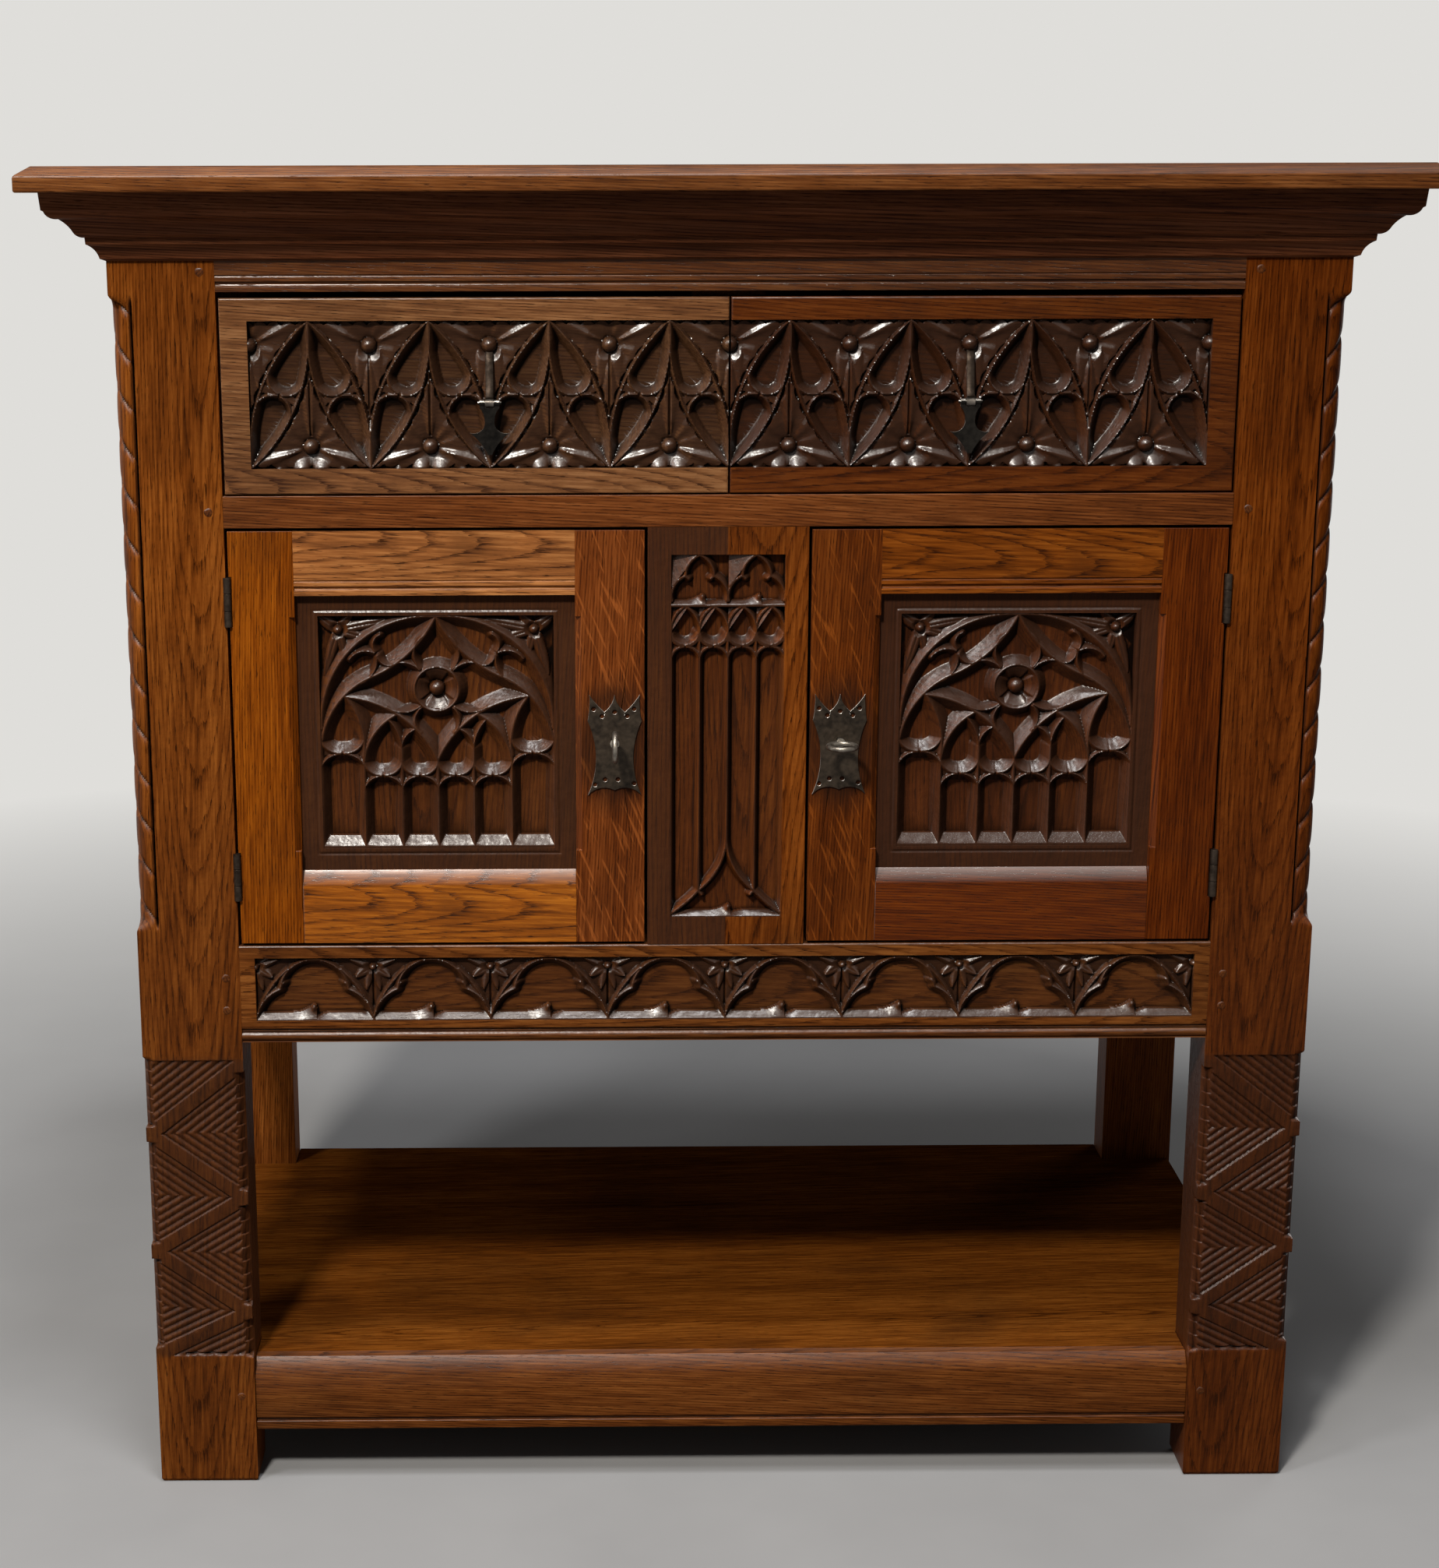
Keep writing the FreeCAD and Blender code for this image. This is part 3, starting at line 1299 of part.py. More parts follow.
def door_rail(name, side, along_z):
    """A rail between the stiles, with its tenon and the mortise for it."""
    first_z, last_z = along_z
    middle = f"({FRONT} + door_thickness / 2)"
    thin = (f"{middle} - tenon_thickness / 2", f"{middle} + tenon_thickness / 2")
    high = (f"({first_z}) + grooved_shoulder", f"({last_z}) - grooved_shoulder")
    near = f"{LOCK_STILE_OUT} - tenon_length"
    far = f"{HINGE_STILE_IN} + tenon_length"
    core_x = mirrored(side, LOCK_STILE_OUT, HINGE_STILE_IN)
    core = box(name + "_core", core_x, (FRONT, DOOR_BACK), along_z)
    tenon = box(name + "_tenon", mirrored(side, near, far), thin, high)
    seat_x = mirrored(side, f"{near} - mortise_end_gap", f"{far} + mortise_end_gap")
    mortise = box(name + "_mortise", seat_x, thin, high)
    return fuse(name + "_joined", [core, tenon]), mortise


def door_sill(rail):
    """The sloped upper front edge of a door's bottom rail."""
    extent = bounds(rail)
    overrun = size("overrun")
    run = size("door_sill_run")
    rise = size("door_sill_height")
    start = extent.XMin
    wire = outline(
        Vector(start, extent.YMin, extent.ZMax - rise),
        Vector(start, extent.YMin + run, extent.ZMax),
        Vector(start, extent.YMin + run, extent.ZMax + overrun),
        Vector(start, extent.YMin - overrun, extent.ZMax + overrun),
        Vector(start, extent.YMin - overrun, extent.ZMax - rise),
    )
    return prism(wire, Vector(extent.XLength, 0, 0))


def door_frame(hand, side, key_hole):
    """The two stiles and two rails of a door, and its carved panel."""
    high = (DOOR_FOOT, DOOR_TOP)
    deep = (FRONT, DOOR_BACK)
    hinge_stile = box(
        f"{hand}_hinge_stile_blank", mirrored(side, HINGE_STILE_IN, DOOR_OUT), deep, high
    )
    lock_stile = box(
        f"{hand}_lock_stile_blank", mirrored(side, DOOR_IN, LOCK_STILE_OUT), deep, high
    )
    head, head_mortise = door_rail(f"{hand}_head", side, (DOOR_HEAD, DOOR_TOP))
    foot, foot_mortise = door_rail(f"{hand}_foot", side, (DOOR_FOOT, DOOR_SILL))
    panel_x = mirrored(side, f"{LOCK_STILE_OUT} - groove_depth", f"{HINGE_STILE_IN} + groove_depth")
    panel_z = (f"{DOOR_SILL} - groove_depth", f"{DOOR_HEAD} + groove_depth")
    panel = box(f"{hand}_panel_blank", panel_x, (PANEL_FRONT, PANEL_BACK), panel_z)
    seat = box(
        f"{hand}_panel_seat",
        (f"{panel_x[0]} - groove_end_gap", f"{panel_x[1]} + groove_end_gap"),
        (PANEL_FRONT, PANEL_BACK),
        (f"{panel_z[0]} - groove_end_gap", f"{panel_z[1]} + groove_end_gap"),
    )
    hinge_extent = bounds(hinge_stile)
    lock_extent = bounds(lock_stile)
    hinge_edge = hinge_extent.XMin if side > 0 else hinge_extent.XMax
    lock_edge = lock_extent.XMax if side > 0 else lock_extent.XMin
    hinge_chamfer = feature(
        f"{hand}_hinge_chamfer", stile_chamfer(hinge_stile, hinge_edge, -side)
    )
    lock_chamfer = feature(f"{hand}_lock_chamfer", stile_chamfer(lock_stile, lock_edge, side))
    mortises = [head_mortise, foot_mortise, seat]
    node(
        f"{hand}_door_hinge_stile",
        cut(
            f"{hand}_hinge_stile",
            hinge_stile,
            mortises + barrel_seats[hand] + [hinge_chamfer],
        ),
    )
    node(
        f"{hand}_door_lock_stile",
        cut(f"{hand}_lock_stile", lock_stile, mortises + [lock_chamfer, key_hole]),
    )
    head_hollows = moulded_face(head, f"{hand}_head", size("door_head_moulding"))
    node(f"{hand}_door_top_rail", cut(f"{hand}_head", head, [seat, head_hollows]))
    sill_cut = feature(f"{hand}_sill", door_sill(foot))
    node(f"{hand}_door_bottom_rail", cut(f"{hand}_foot", foot, [seat, sill_cut]))
    extent = bounds(panel)
    margin = size("groove_depth") + size("panel_border")
    field = Field(
        extent.XMin + margin,
        extent.XMax - margin,
        extent.ZMin + margin,
        extent.ZMax - margin,
        extent.YMin,
    )
    carving = feature(f"{hand}_door_carving", door_tracery(field))
    node(f"{hand}_door_panel", cut(f"{hand}_panel", panel, [carving]))


def key_way(name, centre_x):
    """The round hole and the slot for the bit, from the plate to the lock."""
    front = f"({FRONT} - escutcheon_thickness - overrun)"
    length = "(door_thickness + escutcheon_thickness + 2 * overrun)"
    round_hole = cylinder(
        name + "_round",
        "key_shank_radius + key_clearance",
        length,
        (centre_x, front, KEY_Z),
        (0, 1, 0),
    )
    half = "(key_bit_thickness / 2 + key_clearance)"
    slot = box(
        name + "_slot",
        (f"{centre_x} - {half}", f"{centre_x} + {half}"),
        (front, f"{front} + {length}"),
        (f"{KEY_Z} - key_bit_drop - key_clearance", KEY_Z),
    )
    return fuse(name, [round_hole, slot])


def lock(hand, side):
    """The case on the back of the lock stile and the bolt that it guides."""
    near = f"({DOOR_IN} + lock_case_setback)"
    case_x = mirrored(side, near, f"{near} + lock_case_width")
    case_y = (DOOR_BACK, f"{DOOR_BACK} + lock_case_depth")
    case_z = (f"{KEY_Z} - lock_case_height / 2", f"{KEY_Z} + lock_case_height / 2")
    case = box(f"{hand}_case_blank", case_x, case_y, case_z)
    room = box(
        f"{hand}_case_room",
        (f"{case_x[0]} + lock_case_wall", f"{case_x[1]} - lock_case_wall"),
        (f"{case_y[0]} - overrun", f"{case_y[1]} - lock_case_wall"),
        (f"{case_z[0]} + lock_case_wall", f"{case_z[1]} - lock_case_wall"),
    )
    bolt_foot = f"({KEY_Z} + key_bit_drop + bolt_clearance)"
    bolt_y = (f"{DOOR_BACK} + bolt_clearance", f"{DOOR_BACK} + bolt_clearance + bolt_thickness")
    slot = box(
        f"{hand}_bolt_slot",
        mirrored(side, f"{near} - overrun", f"{near} + lock_case_wall + overrun"),
        (f"{DOOR_BACK} - overrun", f"{bolt_y[1]} + bolt_clearance"),
        (f"{bolt_foot} - bolt_clearance", f"{bolt_foot} + bolt_height + bolt_clearance"),
    )
    node(f"{hand}_lock_case", cut(f"{hand}_lock_case", case, [room, slot]))
    bolt_x = mirrored(side, f"{DOOR_IN} + bolt_clearance", f"{DOOR_IN} + bolt_clearance + bolt_length")
    bolt = box(f"{hand}_bolt_bar", bolt_x, bolt_y, (bolt_foot, f"{bolt_foot} + bolt_height"))
    node(f"{hand}_lock_bolt", bolt)


# The left key stands with its bow upright, the right one with its bow level
KEY_BOW_AXES = {"left": (1, 0, 0), "right": (0, 0, 1)}


def key(hand, centre_x):
    """A shank with a ring bow, a collar and a bit."""
    bow_y = f"({FRONT} - key_reach)"
    into = (0, 1, 0)
    shank = cylinder(
        f"{hand}_key_shank",
        "key_shank_radius",
        "key_reach + door_thickness + key_tip_depth",
        (centre_x, bow_y, KEY_Z),
        into,
    )
    collar = cylinder(
        f"{hand}_key_collar",
        "key_collar_radius",
        "key_collar_length",
        (centre_x, f"{bow_y} + key_wire_radius", KEY_Z),
        into,
    )
    ring = doc.addObject("Part::Torus", f"{hand}_key_bow")
    ring.setExpression("Radius1", bound("key_bow_radius"))
    ring.setExpression("Radius2", bound("key_wire_radius"))
    turn = FreeCAD.Rotation(Vector(0, 0, 1), Vector(*KEY_BOW_AXES[hand]))
    ring.Placement = FreeCAD.Placement(Vector(0, 0, 0), turn)
    for axis, text in zip("xyz", (centre_x, f"{bow_y} - key_bow_radius", KEY_Z)):
        ring.setExpression("Placement.Base." + axis, bound(text))
    half = "key_bit_thickness / 2"
    bit_y = (f"{DOOR_BACK} + bolt_clearance", f"{DOOR_BACK} + bolt_clearance + key_bit_length")
    if hand == "left":
        bit_x = (f"{centre_x} - {half}", f"{centre_x} + {half}")
        bit_z = (f"{KEY_Z} - key_bit_drop", KEY_Z)
    else:
        bit_x = (centre_x, f"{centre_x} + key_bit_drop")
        bit_z = (f"{KEY_Z} - {half}", f"{KEY_Z} + {half}")
    bit = box(f"{hand}_key_bit", bit_x, bit_y, bit_z)
    node(f"{hand}_key", fuse(f"{hand}_key_forged", [shank, collar, ring, bit]))


for hand, side in SIDES.items():
    key_x = KEY_X if side > 0 else f"-{KEY_X}"
    key_hole = key_way(f"{hand}_key_way", key_x)
    door_frame(hand, side, key_hole)
    node(f"{hand}_door_hinge_leaves", group(f"{hand}_door_leaf_set", door_leaves[hand]))
    plate = feature(f"{hand}_plate_blank", escutcheon(key_hole))
    node(f"{hand}_escutcheon", cut(f"{hand}_plate", plate, [key_hole]))
    lock(hand, side)
    key(hand, key_x)


# Drawers: a carved front, housed sides, a back and a grooved bottom
PULL_SHARES = [
    ((0.30, 0.86), (0.25, 0.74)),
    ((0.42, 0.52), (1.00, 0.47)),
    ((0.56, 0.30), (0.10, 0.00)),
]
PULL_HEAD_SHARE = 0.5


def pull_plate(front):
    """The flat drop of a pull: drawn-in neck, two horns and a pointed foot."""
    extent = bounds(front)
    width = size("pull_drop_width")
    height = size("pull_drop_height")
    thickness = size("pull_drop_thickness")
    middle_x = pull_middle(front)
    head_z = extent.ZMin + size("pull_drop_level") - size("pull_eye_radius") - size("pull_ear_gap")
    face_y = extent.YMin - size("pull_eye_stand") - thickness / 2

    def place(share_x, share_z):
        return Vector(middle_x + share_x * width / 2, face_y, head_z - (1 - share_z) * height)

    steps = [place(-PULL_HEAD_SHARE, 1), place(PULL_HEAD_SHARE, 1)]
    for middle, end in PULL_SHARES:
        steps.append((place(*middle), place(*end)))
    steps.append(place(-PULL_SHARES[-1][1][0], PULL_SHARES[-1][1][1]))
    returning = [pair[1] for pair in PULL_SHARES[:-1]][::-1] + [(PULL_HEAD_SHARE, 1)]
    for (middle, _), end in zip(PULL_SHARES[::-1], returning):
        steps.append((place(-middle[0], middle[1]), place(-end[0], end[1])))
    return prism(outline(*steps), Vector(0, thickness, 0))


def pull_middle(front):
    """The middle of a drawer's carved field along X."""
    extent = bounds(front)
    outer = extent.XMax if extent.XMax > -extent.XMin else extent.XMin
    inward = -1 if outer > 0 else 1
    return (outer + inward * size("drawer_field_side")) / 2


PULL_X = f"(({DRAWER_END} - drawer_field_side) / 2)"
PULL_Y = f"({FRONT} - pull_eye_stand)"
PULL_Z = f"({DRAWER_FOOT} + pull_drop_level)"


def pull(hand, front, centre_x):
    """The eye that is let into the drawer and the drop that swings on its pin."""
    eye_x = (f"{centre_x} - pull_eye_width / 2", f"{centre_x} + pull_eye_width / 2")
    ring = cylinder(
        f"{hand}_pull_ring", "pull_eye_radius", "pull_eye_width", (eye_x[0], PULL_Y, PULL_Z), (1, 0, 0)
    )
    stem = cylinder(
        f"{hand}_pull_stem",
        "pull_stem_radius",
        "pull_eye_stand + pull_stem_length",
        (centre_x, PULL_Y, PULL_Z),
        (0, 1, 0),
    )
    bore = cylinder(
        f"{hand}_pull_bore",
        "pull_pin_radius + pin_clearance",
        "pull_eye_width",
        (eye_x[0], PULL_Y, PULL_Z),
        (1, 0, 0),
    )
    node(f"{hand}_pull_eye", cut(f"{hand}_pull_eye", fuse(f"{hand}_eye", [ring, stem]), [bore]))
    pin = cylinder(
        f"{hand}_pull_pin",
        "pull_pin_radius",
        "pull_pin_length",
        (f"{centre_x} - pull_pin_length / 2", PULL_Y, PULL_Z),
        (1, 0, 0),
    )
    pieces = [pin, feature(f"{hand}_pull_plate", pull_plate(front))]
    near = "(pull_eye_width / 2 + pull_ear_gap)"
    far = "(pull_head_width / 2)"
    half = "pull_drop_thickness / 2"
    for name, ear_side in (("inner", -1), ("outer", 1)):
        stretch = mirrored(ear_side, near, far)
        ear_x = (f"{centre_x} + ({stretch[0]})", f"{centre_x} + ({stretch[1]})")
        ear = cylinder(
            f"{hand}_{name}_ear",
            "pull_ear_radius",
            f"{far} - {near}",
            (ear_x[0], PULL_Y, PULL_Z),
            (1, 0, 0),
        )
        cheek = box(
            f"{hand}_{name}_cheek",
            ear_x,
            (f"{PULL_Y} - {half}", f"{PULL_Y} + {half}"),
            (f"{PULL_Z} - pull_eye_radius - pull_ear_gap", PULL_Z),
        )
        pieces += [ear, cheek]
    node(f"{hand}_pull_drop", fuse(f"{hand}_pull_forged", pieces))
    return stem


def drawer(hand, side):
    """One drawer, carved on its front, with its pull."""
    inner_side = (DRAWER_IN, f"{DRAWER_IN} + drawer_side_thickness")
    outer_side = (f"{DRAWER_OUT} - drawer_side_thickness", DRAWER_OUT)
    front_x = mirrored(side, "drawer_seam / 2", DRAWER_END)
    front = box(
        f"{hand}_front_blank", front_x, (FRONT, DRAWER_FRONT_BACK), (DRAWER_FOOT, DRAWER_TOP)
    )
    rear = f"({MID_RAIL_FRONT} - drawer_back_gap)"
    side_y = (f"{DRAWER_FRONT_BACK} - drawer_housing", rear)
    side_z = (DRAWER_SIDE_FOOT, DRAWER_SIDE_TOP)
    boards = []
    for name, stretch in (("inner", inner_side), ("outer", outer_side)):
        boards.append(box(f"{hand}_{name}_side", mirrored(side, *stretch), side_y, side_z))
    bottom_z = (
        f"{DRAWER_SIDE_FOOT} + drawer_bottom_lift",
        f"{DRAWER_SIDE_FOOT} + drawer_bottom_lift + drawer_bottom_thickness",
    )
    bottom_x = mirrored(
        side, f"{inner_side[1]} - drawer_groove", f"{outer_side[0]} + drawer_groove"
    )
    bottom_y = (f"{DRAWER_FRONT_BACK} - drawer_groove", rear)
    bottom = box(f"{hand}_drawer_bottom_board", bottom_x, bottom_y, bottom_z)
    back = box(
        f"{hand}_drawer_back_board",
        mirrored(side, inner_side[1], outer_side[0]),
        (f"{rear} - drawer_back_thickness", rear),
        (bottom_z[1], DRAWER_SIDE_TOP),
    )
    extent = bounds(front)
    field = Field(
        0,
        extent.XMax - size("drawer_field_side") if side > 0 else -extent.XMin - size("drawer_field_side"),
        extent.ZMin + size("drawer_field_foot"),
        extent.ZMin + size("drawer_field_foot") + size("drawer_field_height"),
        extent.YMin,
    )
    carving = drawer_tracery(field)
    if side < 0:
        carving = mirror_x(carving)
    centre_x = PULL_X if side > 0 else f"-{PULL_X}"
    stem = pull(hand, front, centre_x)
    tools = boards + [bottom, feature(f"{hand}_drawer_carving", carving), stem]
    node(f"{hand}_drawer_front", cut(f"{hand}_front", front, tools))
    grooved = [cut(f"{hand}_side_{number}", board, [bottom]) for number, board in enumerate(boards)]
    node(f"{hand}_drawer_sides", group(f"{hand}_drawer_side_pair", grooved))
    node(f"{hand}_drawer_back", back)
    node(f"{hand}_drawer_bottom", bottom)


for hand, side in SIDES.items():
    drawer(hand, side)

doc.recompute()
for item in doc.Objects:
    if "Invalid" in item.State or "Error" in item.State:
        raise RuntimeError(f"{item.Label} did not rebuild: {item.State}")
for item in NODES:
    if item.Shape.isNull() or not item.Shape.isValid():
        raise RuntimeError(f"{item.Label} has no valid shape")
os.makedirs("parts", exist_ok=True)
for item in NODES:
    item.Shape.exportStep(f"parts/{item.Label}.step")
print(len(NODES), "sub-parts written")
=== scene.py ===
import cmath
import math

import bpy
import numpy as np
from mathutils import Matrix, Vector

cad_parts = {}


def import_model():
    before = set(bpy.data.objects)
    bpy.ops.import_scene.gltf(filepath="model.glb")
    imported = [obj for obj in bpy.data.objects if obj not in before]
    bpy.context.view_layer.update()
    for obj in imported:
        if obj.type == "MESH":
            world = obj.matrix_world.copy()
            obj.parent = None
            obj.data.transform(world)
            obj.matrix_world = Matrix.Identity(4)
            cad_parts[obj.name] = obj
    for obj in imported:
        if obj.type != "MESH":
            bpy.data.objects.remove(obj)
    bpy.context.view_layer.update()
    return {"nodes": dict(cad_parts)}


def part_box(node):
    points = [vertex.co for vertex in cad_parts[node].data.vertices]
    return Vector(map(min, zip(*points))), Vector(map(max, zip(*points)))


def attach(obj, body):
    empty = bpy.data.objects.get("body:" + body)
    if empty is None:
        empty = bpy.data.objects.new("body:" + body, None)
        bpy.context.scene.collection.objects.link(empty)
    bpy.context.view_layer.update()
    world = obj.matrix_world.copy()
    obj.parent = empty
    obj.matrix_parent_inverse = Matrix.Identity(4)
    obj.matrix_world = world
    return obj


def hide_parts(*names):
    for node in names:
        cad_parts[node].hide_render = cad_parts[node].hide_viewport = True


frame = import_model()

MM = 0.001
HANDS = (("left", -1), ("right", 1))
scene = bpy.context.scene
scene.view_settings.view_transform = "Standard"


# Materials
class Shader:
    """The node tree of a material or a world, built one node at a time."""

    def __init__(self, name, store=bpy.data.materials):
        self.owner = store.new(name)
        self.owner.use_nodes = True
        self.tree = self.owner.node_tree
        self.tree.nodes.clear()

    def add(self, kind, sockets=None, **settings):
        node = self.tree.nodes.new(kind)
        for key, value in settings.items():
            setattr(node, key, value)
        for key, value in (sockets or {}).items():
            socket = node.inputs[key]
            if isinstance(value, bpy.types.NodeSocket):
                self.tree.links.new(value, socket)
            elif socket.type == "RGBA" and len(value) == 3:
                socket.default_value = (*value, 1.0)
            else:
                socket.default_value = value
        return node

    def coordinate(self, kind):
        return self.add("ShaderNodeTexCoord").outputs[kind]

    def mapping(self, vector, kind="POINT", **sockets):
        return self.add("ShaderNodeMapping", {"Vector": vector, **sockets}, vector_type=kind).outputs[0]

    def math(self, operation, *values, clamp=False):
        sockets = dict(enumerate(values))
        return self.add("ShaderNodeMath", sockets, operation=operation, use_clamp=clamp).outputs[0]

    def linear(self, value, gain, offset=0.0):
        return self.math("MULTIPLY_ADD", value, gain, offset)

    def vector(self, operation, *values):
        node = self.add("ShaderNodeVectorMath", dict(enumerate(values)), operation=operation)
        return node.outputs["Vector" if operation == "MULTIPLY" else "Value"]

    def noise(self, vector, scale, detail=3.0, rough=0.55, warp=0.0):
        sockets = {"Vector": vector, "Scale": scale, "Detail": detail, "Roughness": rough}
        return self.add("ShaderNodeTexNoise", {**sockets, "Distortion": warp}).outputs[0]

    def ramp(self, value, stops):
        node = self.add("ShaderNodeValToRGB", {0: value})
        elements = node.color_ramp.elements
        while len(elements) < len(stops):
            elements.new(0.5)
        for element, (place, colour) in zip(elements, stops):
            element.position = place
            element.color = (*colour, 1.0)
        return node.outputs[0]

    def fade(self, value, low, high):
        sockets = {"Value": value, "From Min": low, "From Max": high}
        return self.add("ShaderNodeMapRange", sockets).outputs[0]

    def mix(self, factor, first, second):
        sockets = {0: factor, 6: first, 7: second}
        return self.add("ShaderNodeMix", sockets, data_type="RGBA").outputs[2]

    def facing(self):
        """How far the surface leans up and to the left, towards the lamps, for wax shine and painted
        highlights.
        """
        return self.vector("DOT_PRODUCT", self.coordinate("Normal"), LAMP_SIDE)

    def seen(self):
        """1 for what the camera sees, also in a reflection or through glass."""
        path = self.add("ShaderNodeLightPath").outputs
        direct = self.math("MAXIMUM", path["Is Camera Ray"], path["Is Glossy Ray"])
        return self.math("MAXIMUM", direct, path["Is Transmission Ray"])

    def finish(self, surface, output="ShaderNodeOutputMaterial"):
        self.add(output, {"Surface": surface})
        return self.owner

    def solid(self, colour, gloss, height, distance, specular, metallic=0.0):
        """Finishes an opaque material with a bumped surface."""
        sockets = {"Height": height, "Strength": BUMP, "Distance": distance}
        bump = self.add("ShaderNodeBump", sockets).outputs[0]
        surface = self.add("ShaderNodeBsdfPrincipled", {
            "Base Color": colour, "Roughness": gloss, "Normal": bump, "Metallic": metallic,
            "Specular IOR Level": specular,
        })
        return self.finish(surface.outputs[0])


BUMP = 0.35
OAK_DARK = (0.0400, 0.0098, 0.0019)
OAK_MID = (0.1300, 0.0345, 0.0052)
OAK_LIGHT = (0.2350, 0.0740, 0.0130)
OAK_SHADES = [(0.22, OAK_DARK), (0.50, OAK_MID), (0.78, OAK_LIGHT)]
# A dark for patina and grime, also used for painted shade.
PATINA_AND_SHADE = (0.0120, 0.0056, 0.0032)
CARVED_DARK = (0.0265, 0.0120, 0.0070)
# The pale of a painted highlight on sills.
PAINTED_HIGHLIGHT = (0.23, 0.195, 0.185)
PLAIN = (1.0, 1.0, 1.0)
LAMP_SIDE = (-0.35, 0.0, 0.94)
RING = 0.0023
GRAIN_TILT = (0.045, 0.04, 0.045)
# Streaks, broad bands, sway of the rings and pores: scale along and across, detail, roughness
GRAIN_NOISES = [
    (6.0, 430.0, 4.0, 0.6), (2.0, 30.0, 3.0, 0.5), (3.0, 11.0, 2.0, 0.5), (60.0, 1300.0, 2.0, 0.5),
]
FLECK_LEAN = (0.0, math.radians(24.0), 0.0)
# Size of the hand smudge and painted shade round a lock.
SMUDGE_AND_SHADE_SIZE = (0.036, 0.06, 0.058)
# Shares of a wood's shine on faces turned up towards the lamps, on other carved faces and on other plain
# faces
WAX = 3.4
DULL = 0.15
FLAT = 0.4


def toned(colour, tone=PLAIN, gain=1.0):
    return tuple(channel * factor * gain for channel, factor in zip(colour, tone))


def oak(name, axis, tone, pith, rough=0.42, patina=0.5, shine=0.08, polish=0.0, figure=1.0,
        fleck=0.0, smudge_and_shade=None, sill_highlight=0.0):
    """Waxed oak with its grain along an axis of the frame; pith is a point of the heart line.

    polish is for carved wood, whose mesh says where it is worn and where it is sunk, with painted shade
    on slopes turned away from the lamps and painted light on slopes turned towards them.
    smudge_and_shade is the middle of a patch darkened by hands and by painted shade in the escutcheon's
    piercings. sill_highlight is how far the wood is painted pale, as a highlight, where it faces up.
    """
    shader = Shader(name)
    linear, fade, mix, noise = shader.linear, shader.fade, shader.mix, shader.noise
    place = shader.coordinate("Object")
    along_axis = "XYZ".index(axis)
    tilt = list(GRAIN_TILT)
    tilt[along_axis] = 0.0
    mapped = shader.mapping(place, "TEXTURE", Location=pith, Rotation=tilt)

    def stretched(along, across, source=mapped):
        scale = [across] * 3
        scale[along_axis] = along
        return shader.vector("MULTIPLY", source, scale)

    streak, broad, sway, pores = (
        noise(stretched(along, across), 1.0, *shape) for along, across, *shape in GRAIN_NOISES
    )
    blotch = noise(mapped, 6.5, 4.0, 0.6, 0.4)
    lumps = noise(mapped, 110.0, 2.0, 0.5)
    radius = linear(sway, 0.011 * figure, shader.vector("LENGTH", stretched(0.0, 1.0)))
    radius = linear(streak, 0.0016, radius)
    early = fade(shader.math("FRACT", shader.math("DIVIDE", radius, RING)), 0.42, 0.02)
    grain = linear(streak, 0.95, 0.0418 * figure - 0.25)
    grain = linear(early, -0.19 * figure, linear(broad, 0.55, grain))
    colour = shader.ramp(grain, [(share, toned(shade, tone)) for share, shade in OAK_SHADES])
    if fleck:
        turned = shader.mapping(mapped, Rotation=FLECK_LEAN)
        flecks = noise(stretched(26.0, 330.0, turned), 1.0, 1.0, 0.4, 0.3)
        lit = linear(fade(flecks, 0.60, 0.70), fleck)
        colour = mix(lit, colour, toned(OAK_LIGHT, tone, 1.6))
    level = linear(early, 0.15, 0.345)
    pore = shader.math("MULTIPLY", shader.math("SUBTRACT", level, pores), 14.0, clamp=True)
    colour = mix(linear(pore, 0.75), colour, toned(OAK_DARK, gain=0.35))
    grime = linear(fade(blotch, 0.48, 0.78), patina)
    colour = mix(grime, colour, PATINA_AND_SHADE)
    # A patch darkened by hands round the lock, which is also painted shade where the wood shows through
    # the escutcheon's piercings.
    if smudge_and_shade:
        reach = shader.mapping(place, "TEXTURE", Location=smudge_and_shade, Scale=SMUDGE_AND_SHADE_SIZE)
        reach = linear(blotch, 0.8, shader.vector("LENGTH", reach))
        colour = mix(linear(fade(reach, 1.55, 1.1), 0.72), colour, PATINA_AND_SHADE)
    gloss = linear(streak, 0.16, rough - 0.08)
    if polish:
        worn = shader.add("ShaderNodeAttribute", attribute_name="worn").outputs["Fac"]
        sunk = shader.add("ShaderNodeAttribute", attribute_name="sunk").outputs["Fac"]
        # Carved wood is darker, less so where the mesh paints light on slopes turned to the lamps.
        colour = mix(linear(sunk, 0.92), colour, CARVED_DARK)
        # Patina in the hollows, and painted shade on carved slopes turned away from the lamps.
        colour = mix(fade(worn, 0.46, 0.08), colour, toned(PATINA_AND_SHADE, gain=0.3))
        rubbed = linear(fade(worn, 0.80, 1.0), 0.07)
        colour = mix(rubbed, colour, toned(OAK_MID, tone, 1.1))
        gloss = linear(sunk, -polish, gloss)
    relief = linear(pore, -0.55, linear(streak, 0.35))
    relief = linear(lumps, 3.2 if polish else 0.5, relief)
    facing = shader.facing()
    lamp_facing = shader.math("MULTIPLY", fade(facing, 0.12, 0.45), fade(facing, 0.96, 0.85))
    # Painted highlight: faces turned up towards the lamps are painted pale.
    if sill_highlight:
        colour = mix(linear(lamp_facing, sill_highlight), colour, PAINTED_HIGHLIGHT)
    bare = (DULL if polish else FLAT) * shine
    gleam = linear(lamp_facing, WAX * shine, bare) if shine else 0.0
    return shader.solid(colour, gloss, relief, 0.0006, gleam)


